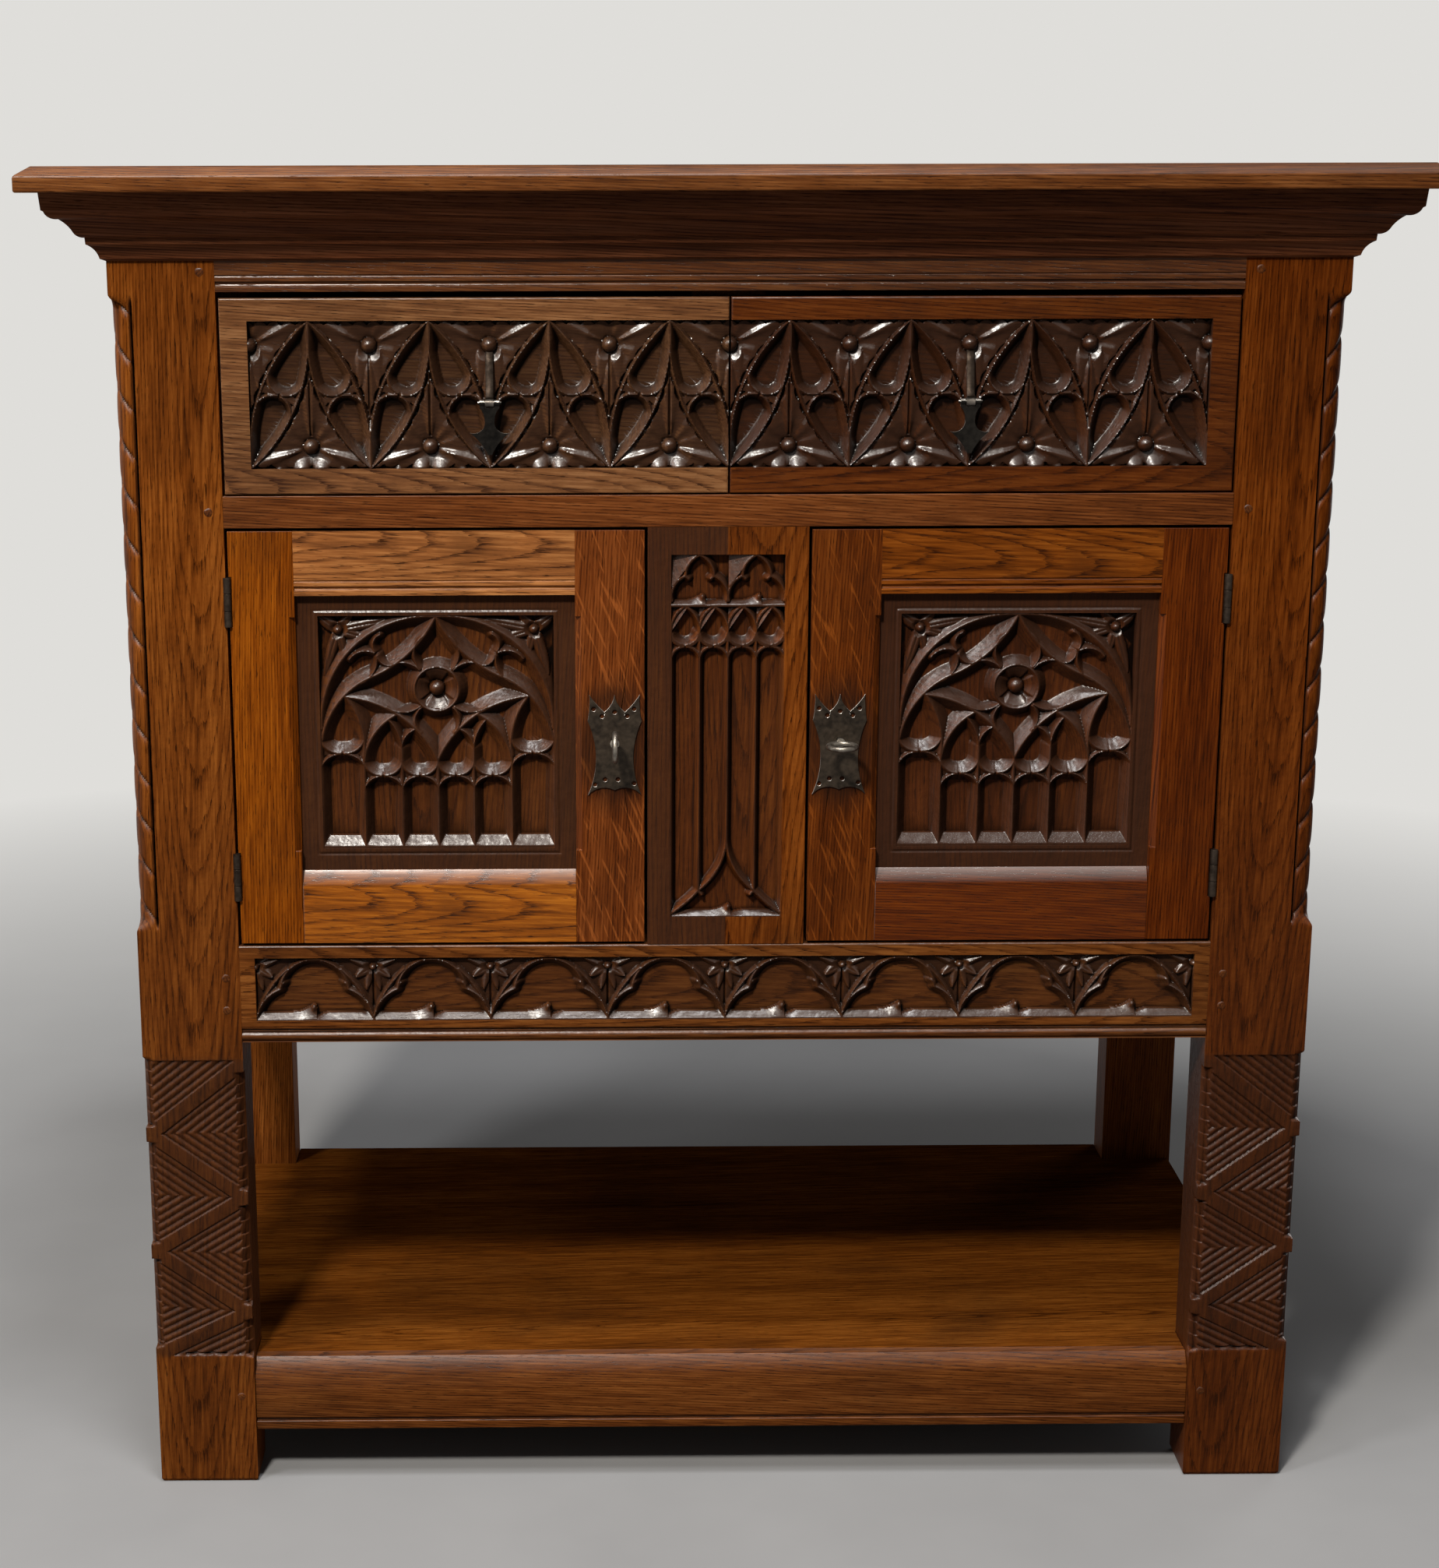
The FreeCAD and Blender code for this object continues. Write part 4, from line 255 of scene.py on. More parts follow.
def metal(name, dark, light, rough, seed=0.0, edge=0.0, bare=0.85):
    """Hand-worked metal: hammered, darkened, with a painted highlight on upper edges turned to the lamps;
    bare is its share of metal.
    """
    shader = Shader(name)
    mapped = shader.mapping(shader.coordinate("Object"), Location=(seed, seed, seed))
    dents = shader.noise(mapped, 240.0, 2.0, 0.5)
    scale = shader.noise(mapped, 900.0, 3.0, 0.6)
    blotch = shader.noise(mapped, 60.0, 3.0, 0.6)
    shade = shader.linear(blotch, 0.6, shader.linear(dents, 0.4))
    colour = shader.ramp(shade, [(0.34, dark), (0.66, light)])
    metallic = bare
    if edge:
        # Painted highlight: faces turned up and left, towards the lamps, get a pale colour as strong as
        # edge and more metal.
        lit = shader.fade(shader.facing(), 0.25, 0.6)
        colour = shader.mix(lit, colour, (edge, 0.94 * edge, 0.86 * edge))
        metallic = shader.linear(lit, 1 - bare, bare)
    gloss = shader.linear(blotch, 0.25, rough - 0.12)
    return shader.solid(colour, gloss, shader.linear(scale, 0.25, dents), 0.0008, 0.12, metallic)


IRON = metal("iron", (0.045, 0.038, 0.032), (0.16, 0.14, 0.12), 0.34)
STEEL = metal("steel", (0.10, 0.085, 0.070), (0.28, 0.25, 0.21), 0.36, seed=0.3)
HINGE = metal("hinge_iron", (0.016, 0.011, 0.008), (0.045, 0.033, 0.025), 0.48, seed=0.5)
# The drop and the plate carry a painted highlight on their upper edges.
DROP = metal(
    "drop_iron", (0.003, 0.0025, 0.002), (0.013, 0.011, 0.009), 0.36, seed=0.9, edge=0.6, bare=0.5,
)
PLATE = metal(
    "plate_iron", (0.012, 0.0088, 0.006), (0.040, 0.029, 0.020), 0.42, seed=0.7, edge=0.8, bare=0.3,
)


# Carving helpers, in millimetres: x to the right, z upwards, depth into the wood
def arc(start, middle, end, steps=18):
    """Points along the arc through three points."""
    a, b, c = complex(*start), complex(*middle), complex(*end)
    bend = (c - a) / (b - a)
    if abs(bend.imag) < 1e-9:
        return [start, middle, end]
    centre = a + (b - a) * (bend - abs(bend) ** 2) / (2j * bend.imag)
    spoke = a - centre
    mid, last = (cmath.phase((point - centre) / spoke) % math.tau for point in (b, c))
    if mid > last:
        last -= math.tau
    points = [centre + spoke * cmath.exp(1j * last * step / steps) for step in range(steps + 1)]
    return [(point.real, point.imag) for point in points]


def lines(first, last, step):
    """Evenly spaced grid lines from first to last."""
    count = max(1, int(round((last - first) / step)))
    return np.linspace(first, last, count + 1)


def spaced(first, *spans):
    """Grid lines from first over spans given as (end, step)."""
    places = [np.array([first])]
    for end, step in spans:
        places.append(lines(places[-1][-1], end, step)[1:])
    return np.concatenate(places)


EDGE = 0.06


def across_field(first, before, low, high, step, coarse, *after):
    """Grid lines over a sunk field from low to high and the wood on both sides of it."""
    field = (low - EDGE, coarse), (low + EDGE, 1.0), (high - EDGE, step), (high + EDGE, 1.0)
    return spaced(first, *before, *field, *after)


def blurred(grid, reach):
    """A box blur, twice, over a number of cells."""
    for _ in range(2):
        for axis in (0, 1):
            margins = [(reach + 1, reach) if a == axis else (0, 0) for a in (0, 1)]
            total = np.cumsum(np.pad(grid, margins, "edge"), axis=axis)
            ahead = np.take(total, range(2 * reach + 1, total.shape[axis]), axis=axis)
            behind = np.take(total, range(0, total.shape[axis] - 2 * reach - 1), axis=axis)
            grid = (ahead - behind) / (2 * reach + 1)
    return grid


def unit(value):
    return np.clip(value, 0, 1)


def hill(value, width):
    """1 at zero, falling to nothing on both sides."""
    return np.exp(-((value / width) ** 2))


def smoothstep(low, high, value):
    share = unit((value - low) / (high - low))
    return share * share * (3 - 2 * share)


def band(span, rise, fall, value):
    """1 within a span; rise and fall are how far each end fades below and above it."""
    start = smoothstep(span[0] - rise[0], span[0] + rise[1], value)
    return start * (1 - smoothstep(span[1] - fall[0], span[1] + fall[1], value))


class Carving:
    """A carved face as depths on a grid; field is its sunk part as (left, right, foot, head)."""

    def __init__(self, xs, zs, field, ground, chamfer, crest_half=0.4, drop=0.5):
        self.xs, self.zs, self.field = xs, zs, field
        self.ground, self.chamfer, self.crest_half, self.drop = ground, chamfer, crest_half, drop
        self.x, self.z = np.meshgrid(xs, zs)
        shape = self.x.shape
        self.near = np.full(shape, 99.0)
        self.lift, self.leaf = np.zeros(shape), np.zeros(shape)
        self.oval = np.zeros(shape, bool)
        x0, x1, z0, z1 = field
        self.inside = (self.x > x0) & (self.x < x1) & (self.z > z0) & (self.z < z1)

    def at(self, share_x, share_z):
        x0, x1, z0, z1 = self.field
        return x0 + share_x * (x1 - x0), z0 + share_z * (z1 - z0)

    def window(self, points, margin):
        """The part of the grid within a margin of the points."""
        def span(places, values):
            ends = (min(values) - margin, max(values) + margin)
            return slice(*(np.searchsorted(places, end) for end in ends))

        across, up = zip(*points)
        return span(self.zs, up), span(self.xs, across)

    def strip(self, start, end, margin):
        """The grid near a line: its slices, share along, signed distance beside, between the ends."""
        area = self.window((start, end), margin)
        dx, dz = end[0] - start[0], end[1] - start[1]
        length = math.hypot(dx, dz)
        rx, rz = self.x[area] - start[0], self.z[area] - start[1]
        share = (rx * dx + rz * dz) / length**2
        return area, share, (rx * dz - rz * dx) / length, (share > 0) & (share < 1)

    def crest(self, points, width=None):
        """A rib's top line; width is that of the slopes beside it."""
        gain = self.chamfer / (width or self.chamfer)
        for start, end in zip(points[:-1], points[1:]):
            if math.dist(start, end) < 1e-6:
                continue
            area, share, _, _ = self.strip(start, end, self.chamfer + 6)
            share = unit(share)
            gap = np.hypot(
                self.x[area] - start[0] - share * (end[0] - start[0]),
                self.z[area] - start[1] - share * (end[1] - start[1]),
            )
            self.near[area] = np.minimum(self.near[area], gap * gain)

    def raise_to(self, area, height):
        self.lift[area] = np.maximum(self.lift[area], height)

    def lobe(self, base, tip, half, crown, rim=0.25, vein=1.0, fall=0.25):
        """A leaf's lobe with a crowned face, a vein and steep sides."""
        area, share, beside, on = self.strip(base, tip, half + 1)
        inside = unit(share)
        width = half * np.sin(np.pi * unit(0.14 + 0.86 * inside) ** 0.9) ** 0.6 + 0.02
        across = np.abs(beside) / width
        dome = rim + (1 - rim) * np.sqrt(unit(1 - across**2))
        face = crown * (1 - fall * inside**2) * dome
        face -= vein * hill(beside, 0.9) * (1 - 0.6 * inside)
        self.leaf[area] = np.maximum(self.leaf[area], np.where(on & (across < 1), face, 0))

    def wedge(self, base, tip, half, height):
        """The body of a cusp: a flat triangle from its base to its tip."""
        area, share, beside, on = self.strip(base, tip, half + 1)
        self.raise_to(area, np.where(on & (np.abs(beside) < half * (1 - share)), height, 0))

    def groove(self, start, end, half, cut):
        """A V cut along a line of the leaves."""
        area, _, beside, on = self.strip(start, end, half + 1)
        depth = cut * unit(1 - np.abs(beside) / half)
        self.leaf[area] = np.where(on, np.maximum(self.leaf[area] - depth, 0), self.leaf[area])

    def ball(self, centre, radius, base):
        """A berry in a small dish."""
        area = self.window((centre,), radius + 6)
        gap = np.hypot(self.x[area] - centre[0], self.z[area] - centre[1])
        dome = base + (self.ground - 0.3 - base) * np.sqrt(unit(1 - (gap / radius) ** 2))
        dish = base + 0.6 * np.clip(gap - radius, 0, 99)
        self.leaf[area] = np.minimum(self.leaf[area], dish)
        self.lift[area] = np.where(gap < radius, dome, self.lift[area])

    def sill(self, foot, rise, curls=(), curl=4.0, run=18.0):
        """A slope that comes forwards from its head to its foot, with a curl at each place."""
        head = np.full(self.x.shape, foot + rise)
        knob = np.zeros(self.x.shape)
        for centre in curls:
            off = self.x - centre
            sweep = unit(1 + off / run) ** 2.4
            end = np.sqrt(unit(1 - (off / 3.2) ** 2))
            climb = np.where(off < 0, sweep, end)
            dip = np.where((off > 3.0) & (off < 14.0), -0.42 * (1 - (off - 3.0) / 11.0), 0.0)
            head = head + curl * (climb + dip)
            above = self.z - foot - rise - curl * 0.72
            knob = np.maximum(knob, np.exp(-(((off - 0.6) / 2.6) ** 2 + (above / 3.0) ** 2)))
        share = unit((head - self.z) / (head - foot))
        on = (self.z <= head) & (self.z >= foot - 3.0)
        top = unit(0.32 + 0.68 * share + 0.42 * knob)
        self.lift = np.maximum(self.lift, np.where(on, top * (self.ground - self.drop), 0))

    def depths(self, sharp=1.42):
        share = unit((self.near - self.crest_half) / self.chamfer)
        depth = self.drop + (self.ground - self.drop) * (1 - (1 - share) ** sharp)
        lift = np.maximum(self.lift, self.leaf * smoothstep(0.6, 2.6, self.near))
        depth = np.minimum(depth, np.maximum(self.ground - lift, self.drop * 0.5))
        return np.where(self.inside, depth, 0.0)

    def rounded(self, depth, radius, sides):
        """Eases outer arrises of the board: left, right, bottom, top."""
        gaps = {
            "l": self.x - self.xs[0], "r": self.xs[-1] - self.x,
            "b": self.z - self.zs[0], "t": self.zs[-1] - self.z,
        }
        for side in sides:
            inset = np.clip(radius - gaps[side], 0, radius)
            depth = np.maximum(depth, radius - np.sqrt(np.maximum(radius**2 - inset**2, 0)))
        return depth


def bounds_mm(node):
    return [[value * 1000 for value in corner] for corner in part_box(node)]


def add_object(name, mesh, body, material, slot, *replaced):
    piece = bpy.data.objects.new(name, mesh)
    scene.collection.objects.link(piece)
    mesh.materials.append(material)
    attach(piece, body)
    if replaced:
        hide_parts(*replaced)


def smooth(mesh, angle):
    mesh.polygons.foreach_set("use_smooth", [True] * len(mesh.polygons))
    mesh.set_sharp_from_angle(angle=math.radians(angle))
    mesh.update()


def grid_faces(rows, columns):
    index = np.arange(rows * columns).reshape(rows, columns)
    corners = (index[:-1, :-1], index[:-1, 1:], index[1:, 1:], index[1:, :-1])
    return np.stack([corner.ravel() for corner in corners], axis=1)


KEPT_FACES = 0.5


def carved_mesh(name, points, faces, angle, **marks):
    """A mesh in millimetres with marks at its points, thinned where it is flat."""
    full = bpy.data.meshes.new(name)
    full.from_pydata((points * MM).tolist(), [], faces)
    for mark, values in marks.items():
        data = full.attributes.new(mark, "FLOAT", "POINT").data
        data.foreach_set("value", np.asarray(values, dtype=np.float32))
    carrier = bpy.data.objects.new("carrier", full)
    scene.collection.objects.link(carrier)
    carrier.modifiers.new("thin", "DECIMATE").ratio = KEPT_FACES
    graph = bpy.context.evaluated_depsgraph_get()
    mesh = bpy.data.meshes.new_from_object(carrier.evaluated_get(graph))
    bpy.data.objects.remove(carrier)
    bpy.data.meshes.remove(full)
    mesh.name = name
    smooth(mesh, angle)
    return mesh


def carved_board(name, carving, depth, body, node, axis, tone, pith, shine,
                 frame_sunk=0.0, floor_warm=0.2, left_painted_light=0.3):
    """A closed board in place of a node, with the carving as its front.

    frame_sunk is how dark the wood round the field is. floor_warm is how much of the darkness inside it
    the floor is spared, and left_painted_light how much the left-facing slopes are spared, as painted
    light.
    """
    low, high = bounds_mm(node)
    rows, columns = depth.shape
    slope_z, slope_x = np.gradient(depth, carving.zs, carving.xs)
    steep = np.sqrt(1 + slope_x**2 + slope_z**2)
    # Painted shade: slopes turned right and down, away from the lamps, are marked to be darker.
    shaded_slopes = smoothstep(0.30, 0.70, 0.7 * (slope_x - slope_z) / steep)
    worn = unit(0.5 + (blurred(depth, 4) - depth) * 0.13)
    worn = np.where(carving.inside, worn - 0.30 * shaded_slopes, worn)
    floor = smoothstep(0.93, 0.99, depth / carving.ground)
    # Painted light: slopes turned left, towards the lamps, are spared some of the carved darkness.
    lit_slopes = smoothstep(0.15, 0.5, -slope_x / steep)
    floor_and_lit_slopes = np.maximum(floor_warm * floor, left_painted_light * lit_slopes)
    sunk = np.where(carving.inside, 1.0 - floor_and_lit_slopes, frame_sunk)
    front = np.stack([carving.x, low[1] + depth, carving.z], axis=-1).reshape(-1, 3)
    ring = np.concatenate([
        np.arange(columns),
        np.arange(1, rows) * columns + columns - 1,
        (rows - 1) * columns + np.arange(columns - 2, -1, -1),
        np.arange(rows - 2, 0, -1) * columns,
    ])
    back = front[ring].copy()
    back[:, 1] = high[1]
    behind = len(front) + np.arange(len(ring))
    sides = np.stack([ring, behind, np.roll(behind, -1), np.roll(ring, -1)], axis=1)
    faces = grid_faces(rows, columns).tolist() + sides.tolist() + [behind[::-1].tolist()]
    mesh = carved_mesh(
        name, np.concatenate([front, back]), faces, 32.0,
        worn=np.concatenate([worn.ravel(), np.full(len(ring), 0.5)]),
        sunk=np.concatenate([sunk.ravel(), np.zeros(len(ring))]),
    )
    material = oak(f"oak_{name}", axis, tone, pith, rough=0.47, shine=shine, polish=0.15)
    add_object(name, mesh, body, material, "oak", node)


def tubes(name, body, material, slot, pipes, *replaced):
    """A piece made of closed pipes, each given as rings of points in millimetres."""
    verts = []
    faces = []
    for rings in pipes:
        around = len(rings[0])
        start = len(verts)
        for ring in rings:
            verts += ring
        last = len(verts) - around
        for first in range(start, last, around):
            for step in range(around):
                after = first + (step + 1) % around
                faces.append((first + step, after, after + around, first + step + around))
        faces.append(tuple(range(last, last + around)))
        faces.append(tuple(reversed(range(start, start + around))))
    mesh = bpy.data.meshes.new(name)
    mesh.from_pydata((np.array(verts) * MM).tolist(), [], faces)
    smooth(mesh, 40.0)
    add_object(name, mesh, body, material, slot, *replaced)


def leaf(carving, petals, across, foot, vein, vein_half, berry, radius):
    """A leaf's free petals, its middle groove and its berry, placed over its foot."""
    for side in (-1, 1):
        for base, tip, half, crown, fold, fall, rim in petals:
            ends = [(across + side * place[0], foot + place[1]) for place in (base, tip)]
            carving.lobe(*ends, half, crown, rim, fold, fall)
    carving.groove((across, foot + vein[0]), (across, foot + vein[1]), vein_half, 3.0)
    carving.ball((across, foot + berry), radius, 2.0)


SIDE_TONES = {-1: (1.05, 1.05, 1.00), 1: (0.78, 0.66, 0.55)}

# Drawer fronts: leaning pointed ovals with leaves and berries between them
DRAWER_FIELD = (905.0, 1024.0)
DRAWER_OUTER = 389.5
DRAWER_TONES = {-1: (1.06, 1.6, 3.8), 1: (0.50, 0.43, 0.42)}
OVALS = 8
OVAL_SAG = 0.121
CUSP_ROOT = 14
# Veins of the leaves: direction in degrees above the level, height and half-width
VEINS_UP = [(25, 2.2, 7), (-16, 0.7, 12), (64, 1.2, 13), (-88, 2.0, 7)]
VEINS_DOWN = [(-18, 2.6, 7), (13, 0.9, 11), (48, 1.3, 12), (88, 2.4, 8)]
# Petals: base, tip, half-width, crown, vein, fall towards the tip, rim
PETALS_UP = [((4.6, 96), (8.5, 64), 7.2, 6.2, 0.0, -0.25, 0.25)]
PETALS_DOWN = [((17, 9), (29, -5), 6.5, 4.6, 0.0, -0.80, 0.35)]
BERRY_UP = 99.3
BERRY_DOWN = 17.5


def leaf_sheets(carving, pitch):
    """The fluted sheets of all leaves, each rising away from its berry."""
    z0, z1 = DRAWER_FIELD
    x, z = carving.x, carving.z
    steps = np.abs(x) / pitch
    from_even = np.abs(steps - 2 * np.round(steps / 2)) * pitch
    from_odd = np.abs(steps - 2 * np.floor(steps / 2) - 1) * pitch
    upper = from_even / pitch < (z - z0) / (z1 - z0)
    sheet = np.zeros(x.shape)
    for part, beside, berry, veins in (
        (upper, from_even, BERRY_UP, VEINS_UP), (~upper, from_odd, BERRY_DOWN, VEINS_DOWN),
    ):
        above = z - z0 - berry
        reach = np.hypot(beside, above)
        angle = np.degrees(np.arctan2(above, beside))
        rise = 0.8 + 0.24 * np.minimum(reach, 20)
        for way, height, spread in veins:
            rise = rise + height * hill(angle - way, spread) * smoothstep(4, 14, reach)
        sheet = np.where(part, rise, sheet)
    edge = np.minimum(z - z0, z1 - z)
    notch = 2.2 * np.abs(np.sin(np.pi * x / 11.5)) ** 6
    sheet = sheet * (0.5 + 0.5 * smoothstep(notch, notch + 1.0, edge))
    pillow = np.sqrt(unit(1 - ((from_odd - 8.2) / 8.4) ** 2))
    pillow = pillow * 8.4 * unit((13.0 - z + z0) / 12.0) ** 0.9
    sheet = np.where(upper, sheet, np.maximum(sheet, pillow))
    carving.leaf = np.where(carving.inside, sheet, 0)


def vesica(carving, start, end):
    """A pointed oval with a pair of cusps at its middle."""
    length = math.dist(start, end)
    sag = OVAL_SAG * length
    area, share, beside, on = carving.strip(start, end, 20)
    bulge = 4 * unit(share * (1 - share))
    outside = np.abs(beside) - sag * bulge
    scallop = (0.8 + 1.7 * np.abs(np.sin(np.pi * share * length / 13.0))) * bulge
    trim = np.where(outside > 0, 0.4 + 0.6 * smoothstep(scallop, scallop + 1.3, outside), 0)
    carving.leaf[area] = np.where(on, carving.leaf[area] * trim, carving.leaf[area])
    carving.oval[area] |= on & (outside < 0)
    along = ((end[0] - start[0]) / length, (end[1] - start[1]) / length)
    across = (-along[1], along[0])
    middle = length / 2

    def put(u, v):
        return start[0] + along[0] * u + across[0] * v, start[1] + along[1] * u + across[1] * v

    spread = sag * (1 - (CUSP_ROOT / middle) ** 2)
    for side in (-1, 1):
        carving.crest(arc(put(0, 0), put(middle, side * sag), put(length, 0), 30))
        for way in (-1, 1):
            root = put(middle + way * CUSP_ROOT, side * spread)
            bend = put(middle + way * 4.6, side * spread * 0.66)
            points = arc(root, bend, put(middle + way * 1.0, side * 1.8), 12)
            carving.crest(points, 6.4 if way * along[1] > 0 else 4.6)
        carving.wedge(put(middle, side * (sag + 1)), put(middle, side * 3), 4.6, carving.ground - 2.4)


def drawer_front(hand, side):
    node = f"{hand}_drawer_front"
    low, high = bounds_mm(node)
    z0, z1 = DRAWER_FIELD
    outer, step = DRAWER_OUTER, 0.85
    near, far = sorted((abs(low[0]), abs(high[0])))
    xs = spaced(
        near, (near + 0.3, 0.3), (outer - EDGE, step), (outer + EDGE, 1.0), (far - 3, 5.0), (far, 0.5),
    )
    field = (0.0, outer, z0, z1)
    if side < 0:
        xs = -xs[::-1]
        field = (-outer, 0.0, z0, z1)
    zs = across_field(
        low[2], [(low[2] + 3, 0.5)], z0, z1, step, 6.0, (high[2] - 3, 6.0), (high[2], 0.5),
    )
    carving = Carving(xs, zs, field, ground=10.4, chamfer=6.6)
    pitch = outer / OVALS
    leaf_sheets(carving, pitch)
    for number in range(0, OVALS + 1, 2):
        leaf(carving, PETALS_UP, side * number * pitch, z0, (91, 34), 1.2, BERRY_UP, 6.3)
    for number in range(1, OVALS + 1, 2):
        leaf(carving, PETALS_DOWN, side * number * pitch, z0, (26, 82), 1.2, BERRY_DOWN, 6.3)
    for number in range(OVALS):
        levels = (z1, z0) if number % 2 else (z0, z1)
        ends = [(side * (number + step) * pitch, level) for step, level in enumerate(levels)]
        vesica(carving, *ends)
    carving.near = np.where(carving.oval, carving.near, carving.near * 2.2)
    depth = carving.rounded(carving.depths(1.15), 1.6, "lrbt")
    pith = (0.0, -0.14, 0.90 + 0.03 * side)
    carved_board(
        f"{hand}_drawer_carved_front", carving, depth, f"{hand}_drawer", node, "X",
        DRAWER_TONES[side], pith, shine=0.25,
    )


# Door panels: six lights under intersecting arches with a rose, in shares of the field
DOOR_FIELD = (144.5, 340.0, 583.0, 782.5)
DOOR_BORDER = 8.0
DOOR_TONE = (0.80, 0.74, 0.62)
DOOR_RIBS = [
    ((0.004, 0.519), (0.119, 0.840), (0.500, 0.996)), ((0.004, 0.470), (0.085, 0.640), (0.206, 0.733)),
    ((0.206, 0.733), (0.390, 0.848), (0.500, 0.996)), ((0.111, 0.655), (0.332, 0.578), (0.500, 0.384)),
    ((0.183, 0.380), (0.247, 0.519), (0.323, 0.578)), ((0.183, 0.400), (0.165, 0.560), (0.111, 0.655)),
    ((0.130, 0.815), (0.190, 0.850), (0.236, 0.842)), ((0.262, 0.920), (0.232, 0.885), (0.240, 0.848)),
    ((0.175, 0.712), (0.232, 0.760), (0.246, 0.826)), ((0.345, 0.815), (0.275, 0.795), (0.250, 0.830)),
    ((0.300, 0.785), (0.370, 0.800), (0.428, 0.768)), ((0.458, 0.920), (0.405, 0.850), (0.432, 0.772)),
    ((0.285, 0.610), (0.370, 0.590), (0.425, 0.612)), ((0.430, 0.500), (0.405, 0.560), (0.430, 0.606)),
    ((0.346, 0.430), (0.338, 0.478), (0.292, 0.556)), ((0.346, 0.430), (0.358, 0.478), (0.405, 0.516)),
]
GREAT_RIBS = 6
DOOR_MULLIONS = [(0.183, 0.400), (0.346, 0.432)]
DOOR_LIGHTS = [(0.000, 0.183, 0.412), (0.183, 0.346, 0.316), (0.346, 0.500, 0.316)]
MIDDLE_LINES = [(0.5, 0.384), (0, 0.52), (1, 0.52)]
CORNER_BERRY = (0.083, 0.938)
CORNER_LOBES = [
    ((0.330, 0.985), 5.5, 6.4, 1.0), ((0.235, 0.890), 5.0, 6.2, 1.0), ((0.150, 1.010), 5.0, 6.0, 0.5),
    ((-0.010, 1.005), 6.0, 6.0, 1.0), ((0.020, 0.740), 5.0, 6.4, 1.0), ((0.110, 0.820), 4.5, 6.0, 1.0),
]
ROSE = (0.5, 0.688)
ROSE_RADIUS = 18.6


def lancet_cusps(carving, first, last, level, reach, width):
    """The two pointed cusps that pinch a narrow light, first to last in millimetres."""
    middle = (first + last) / 2
    half = (last - first) / 2
    for side in (-1, 1):
        edge = middle + side * half
        for way in (-1, 1):
            bend = (middle + side * half * 0.66, level + way * reach * 0.30)
            tip = (middle + side * 1.6, level + way * 0.5)
            points = arc((edge, level + way * reach), bend, tip, 10)
            carving.crest(points, width * 1.55 if way > 0 else width)
        carving.wedge((edge, level), (middle + side * half * 0.3, level), 3.0, carving.ground - 3.2)


def rose(carving, centre):
    """A ring with a four-leaved cup and a berry in it."""
    radius = ROSE_RADIUS
    carving.crest([
        (centre[0] + radius * math.cos(turn), centre[1] + radius * math.sin(turn))
        for turn in np.linspace(0, math.tau, 40)
    ])
    area = carving.window((centre,), radius)
    right, up = carving.x[area] - centre[0], carving.z[area] - centre[1]
    gap = np.hypot(right, up)
    cut = hill(np.sin(2 * np.arctan2(up, right)) ** 2 - 1, 0.12) * 3.0
    cup = unit((gap - 6.0) / 10.5) ** 0.8 * 7.4 - cut * unit(gap / radius)
    carving.raise_to(area, np.where(gap < radius - 1, cup, 0))
    carving.ball(centre, 6.4, 1.6)


def door_panel(hand, side):
    node = f"{hand}_door_panel"
    low, high = bounds_mm(node)
    field = (*sorted(side * edge for edge in DOOR_FIELD[:2]), *DOOR_FIELD[2:])
    xs, zs = (
        across_field(
            low[axis], [(first - DOOR_BORDER, 6.0)], first, last, 0.6, 0.7,
            (last + DOOR_BORDER, 0.7), (high[axis], 6.0),
        )
        for axis, first, last in ((0, *field[:2]), (2, *field[2:]))
    )
    carving = Carving(xs, zs, field, ground=9.4, chamfer=7.2)
    at = carving.at
    for flip in (False, True):
        def place(shares):
            return at(1 - shares[0] if flip else shares[0], shares[1])

        for number, ribs in enumerate(DOOR_RIBS):
            width = 9.0 if number < GREAT_RIBS else 5.4
            carving.crest(arc(*[place(point) for point in ribs]), width)
        for across, head in DOOR_MULLIONS:
            carving.crest([place((across, 0)), place((across, head))])
        for first, last, level in DOOR_LIGHTS:
            ends = sorted((place((first, level))[0], place((last, level))[0]))
            lancet_cusps(carving, *ends, place((0, level))[1], reach=11.0, width=5.2)
        berry = place(CORNER_BERRY)
        for tip, half, crown, vein in CORNER_LOBES:
            carving.lobe(berry, place(tip), half, crown, vein=vein)
        carving.ball(berry, 4.0, 3.2)
    for across, head in MIDDLE_LINES:
        carving.crest([at(across, 0), at(across, head)])
    rose(carving, at(*ROSE))
    carving.sill(field[2] + 2.2, 8.6)
    depth = carving.depths(1.12)
    outside = np.maximum.reduce([
        field[0] - carving.x, carving.x - field[1], field[2] - carving.z, carving.z - field[3],
    ])
    groove = hill(outside - 4.2, 0.9) * 1.1
    step_down = np.where(outside > 4.6, 0.5, 0.0)
    depth = np.where(outside > 0, depth + groove + step_down, depth)
    carved_board(
        f"{hand}_door_tracery", carving, depth, f"{hand}_door", node, "Z",
        toned(DOOR_TONE, SIDE_TONES[side]), (0.25 * side, -0.12, 0.6), shine=0.14, frame_sunk=0.92,
        floor_warm=0.38,
    )


# Centre muntin: ogee lights over a transom, four lancets and a gable below
MUNTIN_FIELD = (-47.0, 47.0, 523.5, 833.5)
MUNTIN_ENDS = (499.5, 856.5)
LIGHT = 23.5
TRANSOM = 791.0


def facet(carving, first, last, low, high):
    """A flat that leans back towards the top, in the upper left corner of a light."""
    across = (carving.x - first) / (last - first)
    up = (carving.z - low) / (high - low)
    on = (across > 0) & (across < 1) & (up > across) & (up < 1)
    height = (carving.ground - 0.6) * (1 - 0.86 * (up - across))
    carving.lift = np.maximum(carving.lift, np.where(on, height, 0))


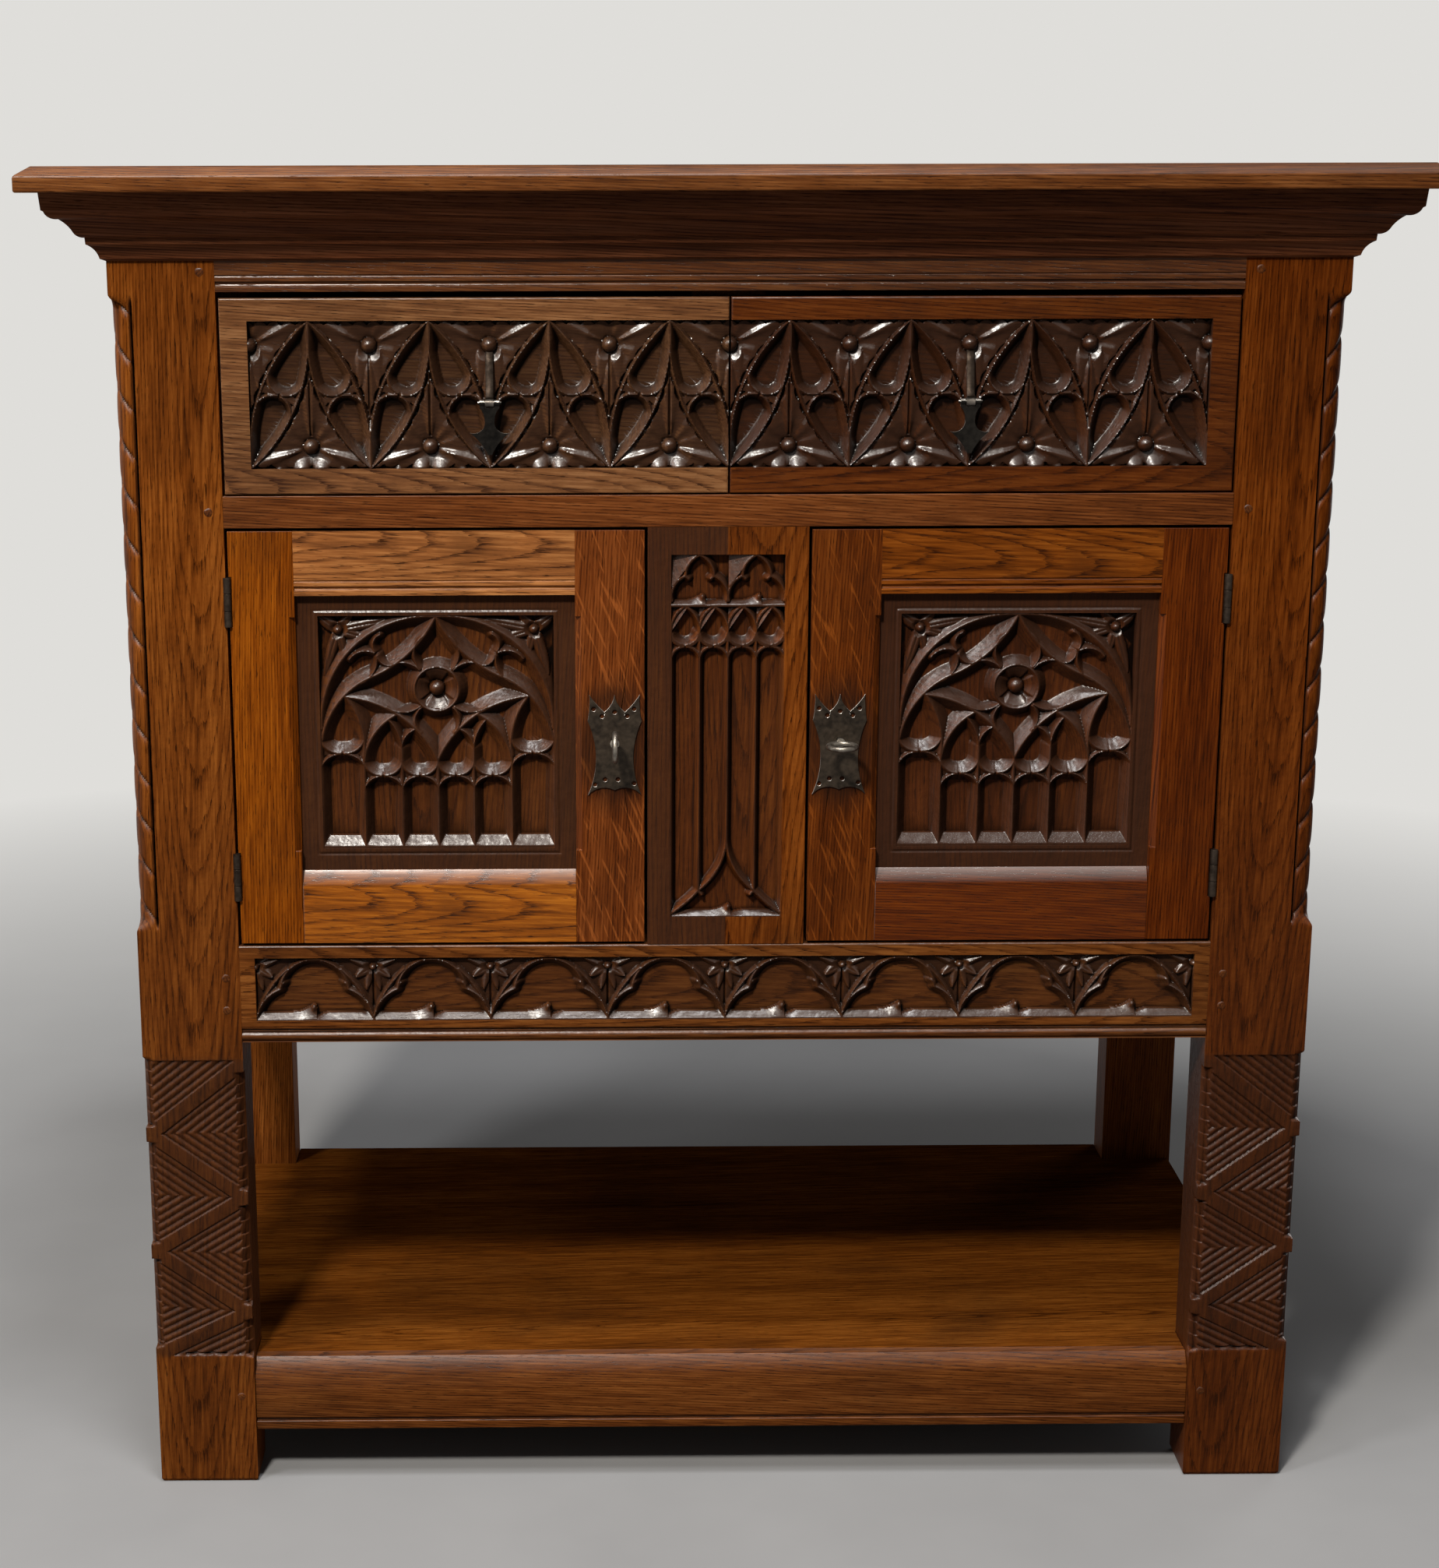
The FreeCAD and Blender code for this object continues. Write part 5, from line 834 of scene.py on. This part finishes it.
def muntin():
    left, right, foot, head = MUNTIN_FIELD
    xs = across_field(-66.5, [(-65.5, 0.5)], left, right, 0.6, 5.0, (65.5, 5.0), (66.5, 0.5))
    zs = across_field(MUNTIN_ENDS[0], [], foot, head, 0.6, 6.0, (MUNTIN_ENDS[1], 6.0))
    carving = Carving(xs, zs, MUNTIN_FIELD, ground=8.5, chamfer=3.8, crest_half=0.8)
    crest = carving.crest
    crest([(left, TRANSOM), (right, TRANSOM)])
    for middle in (-LIGHT, LIGHT):
        for side in (-1, 1):
            base = (middle + side * 23.0, 795.0)
            cusp = (middle + side * 11.7, 815.7)
            crest(arc(base, (middle + side * 20.5, 808.5), cusp))
            crest(arc(cusp, (middle + side * 9.0, 825.5), (middle, 833.2)))
            crest([cusp, (middle + side * 9.2, 813.5)])
    for number in range(4):
        first = left + number * LIGHT
        last = first + LIGHT
        middle = (first + last) / 2
        for edge in (first, last):
            bend = edge + (middle - edge) * 0.16
            crest(arc((edge, 768.0), (bend, 779.5), (middle, TRANSOM - 0.5)))
        lancet_cusps(carving, first, last, 757.0, reach=10.0, width=3.9)
        facet(carving, first, first + 14, 769.0, TRANSOM - 1.0)
    for across, start in ((-LIGHT, 545.5), (0.0, 590.0), (LIGHT, 545.5)):
        crest([(across, start), (across, 770.0)])
    for side in (-1, 1):
        knee = (side * LIGHT, 546.5)
        crest([(side * right, foot), (side * right, 768.0)])
        crest(arc((0.0, 590.0), (side * 7.5, 565.0), knee))
        crest(arc(knee, (side * 35.0, 535.0), (side * 46.8, 526.0)))
        crest([knee, (side * 20.5, 543.0)])
    for first in (left, 0.0):
        facet(carving, first, first + 21, 806.0, 833.0)
    lower_lift = carving.lift.copy()
    carving.sill(TRANSOM + 0.8, 3.6, (-21.5, 25.0), curl=5.0, run=16.0)
    carving.lift = np.where(carving.z > TRANSOM, carving.lift, lower_lift)
    carving.sill(foot + 0.8, 4.5, (1.5,), curl=5.0, run=16.0)
    depth = carving.rounded(carving.depths(), 0.8, "lr")
    left_dark = np.where(carving.x < 0, 0.85, 0.0)
    carved_board(
        "carved_muntin", carving, depth, "carcass", "centre_muntin", "Z", (0.78, 0.68, 0.50),
        (0.02, -0.13, 0.5), shine=0.13, frame_sunk=left_dark, floor_warm=0.45, left_painted_light=0.62,
    )


# Frieze rail: a row of three-lobed arches over a curled sill, in shares of a bay
FRIEZE_FIELD = (-401.0, 401.0, 432.5, 488.5)
FRIEZE_HALF = 413.9
BAYS = 8
FRIEZE_RIBS = [
    ((0.00, 0.03), (0.08, 0.34), (0.21, 0.50)),
    ((0.21, 0.50), (0.29, 0.82), (0.50, 0.97)),
    ((0.00, 0.06), (0.11, 0.48), (0.27, 0.82)),
    ((0.21, 0.50), (0.215, 0.545), (0.235, 0.60)),
]
ARCH_ACROSS = [0.0, 0.06, 0.11, 0.19, 0.27, 0.38, 0.5]
ARCH_UP = [0.06, 0.29, 0.48, 0.68, 0.82, 0.93, 0.97]
FRIEZE_PETALS = [
    ((2.0, 46), (21, 55), 3.6, 4.6, -1.0, -0.35, 0.35), ((2.0, 46), (15, 38), 4.4, 4.2, 0.9, -0.60, 0.40),
    ((1.8, 44), (6.0, 26), 3.4, 4.2, 0.0, -0.50, 0.35),
]
BEAD = (418.0, 4.5)
QUIRK = 424.0


def frieze():
    high = bounds_mm("frieze_rail")[1]
    left, right, foot, head = FRIEZE_FIELD
    xs = across_field(-FRIEZE_HALF, [], left, right, 0.8, 6.0, (FRIEZE_HALF, 6.0))
    zs = across_field(413.5, [(426.5, 0.6)], foot, head, 0.8, 2.0, (high[2] - 2.5, 5.0), (high[2], 0.4))
    carving = Carving(xs, zs, FRIEZE_FIELD, ground=8.0, chamfer=6.2)
    x, z, inside = carving.x, carving.z, carving.inside
    pitch = (right - left) / BAYS
    height = head - foot
    curls = []
    for number in range(BAYS):
        first = left + number * pitch
        for flip in (False, True):
            for ribs in FRIEZE_RIBS:
                carving.crest(arc(*[
                    (first + (1 - across if flip else across) * pitch, foot + up * height)
                    for across, up in ribs
                ]))
        curls.append(first + pitch / 2 - 1.5)
    bay = np.abs((x - left) / pitch % 1.0 - 0.5)
    above = (z - foot) / height > np.interp(0.5 - bay, ARCH_ACROSS, ARCH_UP)
    carving.oval = inside & ~above
    carving.leaf = np.where(inside & above, 2.6, 0.0)
    for number in range(BAYS + 1):
        leaf(carving, FRIEZE_PETALS, left + number * pitch, foot, (44, 12), 0.9, 47, 3.1)
    carving.near = np.where(carving.oval, carving.near, carving.near * 2.0)
    carving.leaf = np.where(carving.oval, 0, carving.leaf)
    carving.sill(foot + 0.8, 5.6, curls, curl=7.0, run=20.0)
    bead_z, bead_r = BEAD
    off = np.abs(z - bead_z)
    bead = np.where(off < bead_r, bead_r - np.sqrt(np.maximum(bead_r**2 - off**2, 0)), 0)
    edge = np.where(z < 422.8, np.minimum(bead, 3.6), hill(z - QUIRK, 1.1) * 3.2)
    depth = carving.rounded(np.maximum(carving.depths(1.25), edge), 1.8, "t")
    edge_sunk = np.where((z < QUIRK) | (z > high[2] - 2.5), 0.4, 0.0)
    carved_board(
        "carved_frieze", carving, depth, "carcass", "frieze_rail", "X", (0.82, 0.90, 1.10),
        (0.0, -0.13, 0.47), shine=0.17, frame_sunk=edge_sunk, floor_warm=0.55,
    )


# Front posts: rope roll on the outer corner above, ribbon and chevrons on the leg
POST_INNER = 414.0
POST_WIDTH = 86.0
POST_DEPTH = 52.0
POST_TONE = (0.86, 0.82, 0.70)
CORNER = 18.0
INNER_CORNER = 10.0
LEG = (122.0, 397.0)
LEG_CHAMFER = 9.0
LEG_NOTCH = 12.6
ROPE = (520.0, 1038.0)
ROPE_PITCH = 39.0
RIBBON = [(3.0, 393.0), (83.0, 329.6), (3.0, 270.5), (83.0, 221.0), (3.0, 163.0), (83.0, 123.5)]
# How much darker each post gets towards the bottom.
DARKER_BELOW = {-1: 0.24, 1: 0.36}


def chevrons(u, height):
    """Depth of the nested grooves beside the ribbon of a leg."""
    gap = np.full(np.broadcast(u, height).shape, 99.0)
    for start, end in zip(RIBBON[:-1], RIBBON[1:]):
        dx, dz = end[0] - start[0], end[1] - start[1]
        share = unit(((u - start[0]) * dx + (height - start[1]) * dz) / (dx * dx + dz * dz))
        gap = np.minimum(gap, np.hypot(u - start[0] - share * dx, height - start[1] - share * dz))
    ridge = (gap - 6.4) / 6.3
    groove = np.abs(2 * (ridge - np.floor(ridge)) - 1)
    cut = (0.7 + 1.7 * groove**1.6) * smoothstep(5.8, 7.2, gap)
    below = smoothstep(-2.0, 2.0, height - 104 - 0.25 * u)
    return cut * band(LEG, (1, 1), (1, 0.5), height) * below


def notched_corner(z, in_leg, share, reach, turns):
    """A corner with the leg's notched chamfer, as distances on its side and on its front.

    turns are the points of the ribbon where it folds over this corner, which stays square there.
    """
    walk = (share[None, :] - 0.5) * 2 * reach
    on_side, on_front = np.where(walk < 0, -walk, 0.0), np.where(walk > 0, walk, 0.0)
    pulled = np.clip(walk / LEG_CHAMFER, -1, 1)
    cut_side = (1 - pulled) / 2 * LEG_CHAMFER
    cut_front = (1 + pulled) / 2 * LEG_CHAMFER
    inside = np.abs(walk) <= LEG_CHAMFER
    keep = np.ones_like(z)
    for _, turn in turns:
        keep *= smoothstep(6.5, 8.5, np.abs(z - turn))
    phase = (z - LEG[0]) / LEG_NOTCH
    amount = in_leg * keep * (1.0 - 0.26 * (phase - np.floor(phase)))
    new_side = np.where(inside, on_side + (cut_side - on_side) * amount, on_side)
    new_front = np.where(inside, on_front + (cut_front - on_front) * amount, on_front)
    return new_side, new_front


def rope_roll(z, theta):
    """The rope's u and v at angles from the front to the side, and how near its gouges are."""
    twist = (z + 25.0 * (1 - theta / 90.0)) / ROPE_PITCH
    wave = np.abs(2 * (twist - np.floor(twist)) - 1)
    radius = 17.2 - 2.6 * wave**7 - 0.5 * wave**2
    radius = radius - 4.6 * hill(theta, 5.0) - 4.6 * hill(90 - theta, 5.0)
    u = POST_WIDTH - CORNER + radius * np.sin(np.radians(theta))
    v = CORNER - radius * np.cos(np.radians(theta))
    return u, v, wave


def post(hand, side):
    """A post as sections of (u from the inner face, v from the front) over its height."""
    node = f"front_post_{hand}"
    low, high = bounds_mm(node)
    zs = spaced(
        0.0, (3.0, 1.0), (LEG[0] - 4, 10.0), (LEG[1] + 12, 0.9), (ROPE[0] - 16, 12.0),
        (ROPE[1] + 16, 1.5), (high[2], 12.0),
    )
    z = zs[:, None]
    front_u = lines(INNER_CORNER, POST_WIDTH - CORNER, 0.95)
    inner_share = np.linspace(0, 1, 21)
    outer_share = np.linspace(0, 1, 35)
    in_leg = band(LEG, (3, 1), (1, 4), z)
    rope_on = band(ROPE, (8, 4), (4, 8), z)
    inner_v, inner_u = notched_corner(z, in_leg, inner_share, INNER_CORNER, RIBBON[0::2])
    square_v, square_u = notched_corner(z, in_leg, outer_share, CORNER, RIBBON[1::2])
    square_u = POST_WIDTH - square_u
    theta = outer_share[None, ::-1] * 90.0
    roll_u, roll_v, wave = rope_roll(z, theta)
    outer_u = square_u + (roll_u - square_u) * rope_on
    outer_v = square_v + (roll_v - square_v) * rope_on
    u_front, z_front = np.meshgrid(front_u, zs)
    front_v = chevrons(u_front, z_front)
    saw = (np.abs(z_front - 124.0) < 0.8) & (u_front > 24) & (u_front < 60)
    front_v = np.where(saw, front_v + 1.2, front_v)
    inner_v = np.maximum(inner_v, chevrons(inner_u, z) * smoothstep(0.0, 1.0, inner_u))
    on_front = smoothstep(0.0, 1.0, POST_WIDTH - outer_u) * (1 - rope_on)
    outer_v = np.maximum(outer_v, chevrons(outer_u, z) * on_front)
    side_v = np.repeat([[POST_DEPTH, 44.0, 34.0, 25.0]], len(zs), axis=0)
    plain = side_v.shape[1]
    u = np.concatenate(
        [0 * side_v, inner_u, u_front[:, 1:-1], outer_u[:, ::-1], 0 * side_v + POST_WIDTH], axis=1,
    )
    v = np.concatenate(
        [side_v, inner_v, front_v[:, 1:-1], outer_v[:, ::-1], side_v[:, ::-1]], axis=1,
    )
    rows, count = u.shape
    height = np.repeat(z, count, axis=1)
    squeeze = np.clip(3.0 - height, 0, 3.0) * 0.6
    u = np.clip(u, squeeze, POST_WIDTH - squeeze)
    v = np.clip(v, squeeze, POST_DEPTH - squeeze)
    points = np.stack([side * (POST_INNER + u), low[1] + v, height], axis=-1).reshape(-1, 3)
    first = np.arange(rows) * count
    last = first + count - 1
    back = np.stack([last[:-1], first[:-1], first[1:], last[1:]], axis=1)
    caps = [np.arange(count)[::-1], (rows - 1) * count + np.arange(count)]
    faces = np.concatenate([grid_faces(rows, count), back]).tolist() + [cap.tolist() for cap in caps]
    if side < 0:
        faces = [face[::-1] for face in faces]
    inset = np.maximum(np.minimum.reduce([v, u, POST_WIDTH - u]), 0)
    worn = unit(0.5 + (blurred(inset, 3) - inset) * 0.22)
    worn[:, :plain] = worn[:, -plain:] = 0.5
    sunk = np.maximum(in_leg * 0.75, DARKER_BELOW[side] * (1 - smoothstep(420.0, 820.0, height)))
    quirk = hill(theta, 7.0) + hill(90 - theta, 7.0) + 0.2 * wave**9
    start = plain + len(inner_share) + len(front_u) - 2
    roll = slice(start, start + len(outer_share))
    sunk[:, roll] = np.maximum(sunk[:, roll], (unit(quirk) * rope_on)[:, ::-1])
    name = f"carved_post_{hand}"
    mesh = carved_mesh(name, points, faces, 30.0, worn=worn.ravel(), sunk=sunk.ravel())
    material = oak(
        f"oak_{name}", "Z", toned(POST_TONE, SIDE_TONES[side]), (0.452 * side, -0.165, 0.4),
        patina=0.35, shine=0.055, polish=0.06, figure=0.8,
    )
    add_object(name, mesh, "carcass", material, "oak", node)


# Straps of the pulls: from under a berry down to the eye, as (y, z)
STRAP_PATH = [
    (-213.0, 1001.0), (-219.5, 997.0), (-221.3, 990.0), (-222.6, 980.0), (-224.4, 970.0), (-226.8, 964.2),
    (-228.8, 962.4),
]
STRAP_SECTION = [
    (-3.1, -0.4), (-2.6, -0.8), (2.6, -0.8), (3.1, -0.4), (3.1, 0.4), (2.4, 0.9), (-2.4, 0.9), (-3.1, 0.4),
]


def pull_strap(hand):
    low, high = bounds_mm(f"{hand}_pull_eye")
    middle = (low[0] + high[0]) / 2
    path = np.array(STRAP_PATH)
    ahead = np.gradient(path, axis=0)
    ahead /= np.linalg.norm(ahead, axis=1, keepdims=True)
    rings = [
        [(middle + across, y + out * ahead_z, z - out * ahead_y) for across, out in STRAP_SECTION]
        for (y, z), (ahead_y, ahead_z) in zip(path, ahead)
    ]
    tubes(f"{hand}_pull_strap", f"{hand}_drawer", HINGE, "iron", [rings])


# Pegs: hand-cut domed heads that stand a little proud, as (radius, depth) of each ring
PEG_RINGS = [(3.5, 6.0), (3.5, -0.05), (3.0, -0.32), (1.6, -0.45)]
PEG_INSET = 12.0
PEG_LEVELS = (82.5, 442.17, 470.83, 869.75, 1063.04)


def peg_heads():
    material = oak("oak_pegs", "Y", (0.55, 0.55, 0.6), (0.0, 0.0, 0.7), rough=0.5, shine=0.2)
    face_y = bounds_mm("joint_pegs")[0][1]
    places = [(side * (POST_INNER + PEG_INSET), level) for side in (-1, 1) for level in PEG_LEVELS]
    turns = np.linspace(0, math.tau, 16, endpoint=False)
    pegs = []
    for number, (x, z) in enumerate(places):
        uneven = 1 + 0.05 * np.sin(3 * turns + 1.7 * number) + 0.04 * np.sin(5 * turns + 2.3 * number)
        pegs.append([
            [
                (x + radius * off * math.cos(turn), face_y + depth, z + radius * off * math.sin(turn))
                for turn, off in zip(turns, uneven)
            ]
            for radius, depth in PEG_RINGS
        ])
    tubes("peg_heads", "carcass", material, "oak", pegs, "joint_pegs")


# Back boards: loose tongues that close the joints between the five boards
BOARD_JOINT = 0.6
JOINT_SHARES = (-0.6, -0.2, 0.2, 0.6)


def back_tongues():
    low, high = bounds_mm("back_boards")
    half = high[0] + BOARD_JOINT / 2
    middle = (low[1] + high[1]) / 2
    thin, deep, cut = BOARD_JOINT / 2 - 0.02, 2.0, 0.15
    section = [(thin, deep - cut), (thin - cut, deep), (cut - thin, deep), (-thin, deep - cut)]
    section += [(-x, -y) for x, y in section]
    tongues = [
        [
            [(share * half + x, middle + y, z) for x, y in section]
            for z in (low[2] + 0.5, high[2] - 0.5)
        ]
        for share in JOINT_SHARES
    ]
    material = frame["nodes"]["back_boards"].data.materials[0]
    tubes("back_tongues", "carcass", material, "oak", tongues)


# CAD nodes that stay: eased arrises and a material of their own
GRAIN = {
    "top_board": ("X", (0.66, 0.78, 1.25)), "cornice_front": ("X", (0.64, 0.72, 1.7)),
    "cornice_left": ("Y", (0.66, 0.70, 0.95)), "cornice_right": ("Y", (0.56, 0.58, 0.80)),
    "cupboard_floor": ("X", (0.9, 0.95, 1.0)), "top_rail": ("X", (0.50, 0.56, 0.9)),
    "drawer_rail": ("X", (0.78, 0.82, 1.25)), "pot_board_front_rail": ("X", (0.72, 0.76, 0.9)),
    "side_rails_left": ("Y", PLAIN), "side_rails_right": ("Y", (0.9, 0.88, 0.85)),
    "side_panel_left": ("Z", (1.0, 1.0, 0.95)), "side_panel_right": ("Z", (0.9, 0.88, 0.85)),
    "back_rails": ("X", (0.8, 0.85, 0.95)), "back_boards": ("Z", (0.85, 0.92, 1.05)),
    "pot_board": ("X", (0.80, 0.84, 0.70)), "pot_board_rails": ("Y", (0.7, 0.7, 0.7)),
    "drawer_runners": ("Y", (1.0, 1.1, 1.25)), "drawer_kickers": ("Y", (1.0, 1.1, 1.25)),
    "back_post_left": ("Z", (1.0, 1.0, 0.95)), "back_post_right": ("Z", (0.95, 0.92, 0.85)),
    "left_door_hinge_stile": ("Z", (1.04, 0.88, 0.25)),
    "left_door_lock_stile": ("Z", (0.84, 0.74, 0.85)),
    "left_door_top_rail": ("X", (1.70, 2.25, 4.0)),
    "left_door_bottom_rail": ("X", (1.62, 1.62, 0.75)),
    "right_door_hinge_stile": ("Z", (0.52, 0.36, 0.20)),
    "right_door_lock_stile": ("Z", (0.62, 0.50, 0.36)),
    "right_door_top_rail": ("X", (0.98, 0.90, 0.55)),
    "right_door_bottom_rail": ("X", (0.50, 0.34, 0.12)),
}
METALS = {"post_hinge_leaves": HINGE, "hinge_pins": HINGE}
HAND_METALS = {
    "door_hinge_leaves": HINGE, "escutcheon": PLATE, "lock_case": STEEL, "key": STEEL,
    "lock_bolt": STEEL, "pull_eye": IRON, "pull_drop": DROP,
}
INSIDE_TONE = (1.6, 2.6, 5.0)
RIFT = 0.11
FLAT_SAWN = ["left_door_top_rail", "left_door_bottom_rail", "right_door_top_rail", "pot_board"]
# The door sills get a painted highlight where they face up.
FINISH = {
    "left_door_bottom_rail": {"rough": 0.30, "shine": 0.24, "sill_highlight": 0.55},
    "right_door_bottom_rail": {"rough": 0.30, "shine": 0.22, "sill_highlight": 0.55},
    "top_rail": {"rough": 0.28, "shine": 0.26}, "pot_board": {"shine": 0.0},
}
EASE = {"top_board": 1.6, "pot_board_front_rail": 0.9}
LOCK = (0.094, 0.672)
for hand, _ in HANDS:
    for part, axis in (("drawer_sides", "Y"), ("drawer_back", "X"), ("drawer_bottom", "X")):
        GRAIN[f"{hand}_{part}"] = (axis, INSIDE_TONE)
    METALS.update({f"{hand}_{part}": material for part, material in HAND_METALS.items()})
    EASE.update({f"{hand}_escutcheon": 0.9, f"{hand}_pull_drop": 0.8})


def dress(node, material, ease):
    """Gives a CAD node its material and eases its arrises, by default over ease millimetres."""
    piece = frame["nodes"][node]
    piece.data.materials.clear()
    piece.data.materials.append(material)
    piece.modifiers.new("weld", "WELD").merge_threshold = 0.00001
    bevel = piece.modifiers.new("ease", "BEVEL")
    bevel.width = EASE.get(node, ease) * MM
    bevel.segments = 2
    bevel.limit_method = "ANGLE"
    bevel.angle_limit = math.radians(40)
    piece.modifiers.new("even", "WEIGHTED_NORMAL").keep_sharp = False


for number, (node, (axis, tone)) in enumerate(sorted(GRAIN.items())):
    low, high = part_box(node)
    pith = [(low[n] + high[n]) / 2 + 0.004 * ((number * 5 + n * 3) % 11 - 5) for n in range(3)]
    if axis == "Y":
        pith[2] = low[2] - 0.05
    elif node in FLAT_SAWN:
        pith[1] = low[1] + 0.05
    else:
        pith[1] = low[1] + 0.04
        pith[0 if axis == "Z" else 2] += RIFT * (-1 if number % 2 else 1)
    finish = FINISH.get(node, {})
    if "lock_stile" in node:
        lock = (math.copysign(LOCK[0], low[0] + high[0]), low[1], LOCK[1])
        finish = {"fleck": 0.45, "smudge_and_shade": lock}
    dress(node, oak(f"oak_{node}", axis, tone, pith, **finish), 0.7)
for node, material in METALS.items():
    dress(node, material, 0.3)
for hand, side in HANDS:
    drawer_front(hand, side)
    door_panel(hand, side)
    post(hand, side)
    pull_strap(hand)
muntin()
frieze()
back_tongues()
peg_heads()

# Stage, light and camera
BACKDROP = (1.0, 0.985, 0.95, 1.0)
SEEN = 0.74
UNSEEN = 0.05
FLOOR_REACH = 14.0
FLOOR_SHADES = [(0.35, (0.235, 0.235, 0.24)), (0.65, (0.26, 0.26, 0.265))]
# Lamps: place, target, size, power, colour
LAMPS = {
    "key": ((-0.95, -2.45, 3.05), (0.0, -0.2, 0.6), 0.40, 140.0, (1.0, 0.95, 0.87)),
    "over": ((0.0, -0.95, 4.0), (0.0, -0.3, 0.6), 0.6, 66.0, PLAIN),
    "back": ((2.2, 2.0, 0.9), (0.2, 0.25, 0.7), 1.4, 14.0, PLAIN),
    "left": ((-2.6, -0.9, 2.3), (0.0, -0.25, 0.8), 0.6, 11.0, PLAIN),
    "side": ((-1.75, -1.45, 3.5), (0.0, -0.2, 0.7), 0.5, 42.0, PLAIN),
}


def stage_floor():
    """A pale floor that turns into the backdrop away from the object."""
    mesh = bpy.data.meshes.new("floor")
    reach = FLOOR_REACH
    corners = [(-reach, -reach, 0), (reach, -reach, 0), (reach, reach, 0), (-reach, reach, 0)]
    mesh.from_pydata(corners, [], [(0, 1, 2, 3)])
    floor = bpy.data.objects.new("floor", mesh)
    scene.collection.objects.link(floor)
    shader = Shader("floor_pale")
    place = shader.coordinate("Object")
    colour = shader.ramp(shader.noise(place, 3.0, 4.0), FLOOR_SHADES)
    ground = shader.add("ShaderNodeBsdfPrincipled", {"Base Color": colour, "Roughness": 0.85})
    backdrop = shader.add("ShaderNodeEmission", {"Color": BACKDROP, "Strength": SEEN})
    away = shader.fade(shader.vector("LENGTH", place), 1.0, 2.6)
    share = shader.math("MULTIPLY", away, shader.seen())
    shades = {0: share, 1: ground.outputs[0], 2: backdrop.outputs[0]}
    mesh.materials.append(shader.finish(shader.add("ShaderNodeMixShader", shades).outputs[0]))


def world():
    """Dim light all round, with a pale backdrop where the background is seen."""
    sky = Shader("studio", bpy.data.worlds)
    dim, pale = (
        sky.add("ShaderNodeBackground", {"Color": BACKDROP, "Strength": strength}).outputs[0]
        for strength in (UNSEEN, SEEN)
    )
    mixed = sky.add("ShaderNodeMixShader", {0: sky.seen(), 1: dim, 2: pale})
    scene.world = sky.finish(mixed.outputs[0], "ShaderNodeOutputWorld")


def lamp(name, place, target, size, power, colour):
    data = bpy.data.lights.new(name, "AREA")
    data.shape = "DISK"
    data.size = size
    data.energy = power
    data.color = colour
    light = bpy.data.objects.new(name, data)
    scene.collection.objects.link(light)
    light.location = place
    aim = Vector(target) - Vector(place)
    light.rotation_euler = aim.to_track_quat("-Z", "Y").to_euler()


def camera():
    """The photograph's camera, from a fit to straight edges of the object."""
    data = bpy.data.cameras.new("camera")
    data.sensor_fit = "HORIZONTAL"
    data.sensor_width = 36.0
    data.lens = 63.92
    data.shift_x = 0.0794
    data.shift_y = -0.0175
    data.clip_end = 100.0
    right = Vector((0.9999661436, -0.0077580454, -0.0027430431))
    down = Vector((-0.0044267528, -0.2261739965, -0.9740768590))
    ahead = Vector((0.0069365275, 0.9740560231, -0.2262006820))
    turn = Matrix((right, -down, -ahead)).transposed().to_4x4()
    viewer = bpy.data.objects.new("camera", data)
    scene.collection.objects.link(viewer)
    viewer.matrix_world = Matrix.Translation((-0.1167, -2.3056, 1.1455)) @ turn
    scene.camera = viewer


stage_floor()
world()
for name, settings in LAMPS.items():
    lamp(name, *settings)
camera()
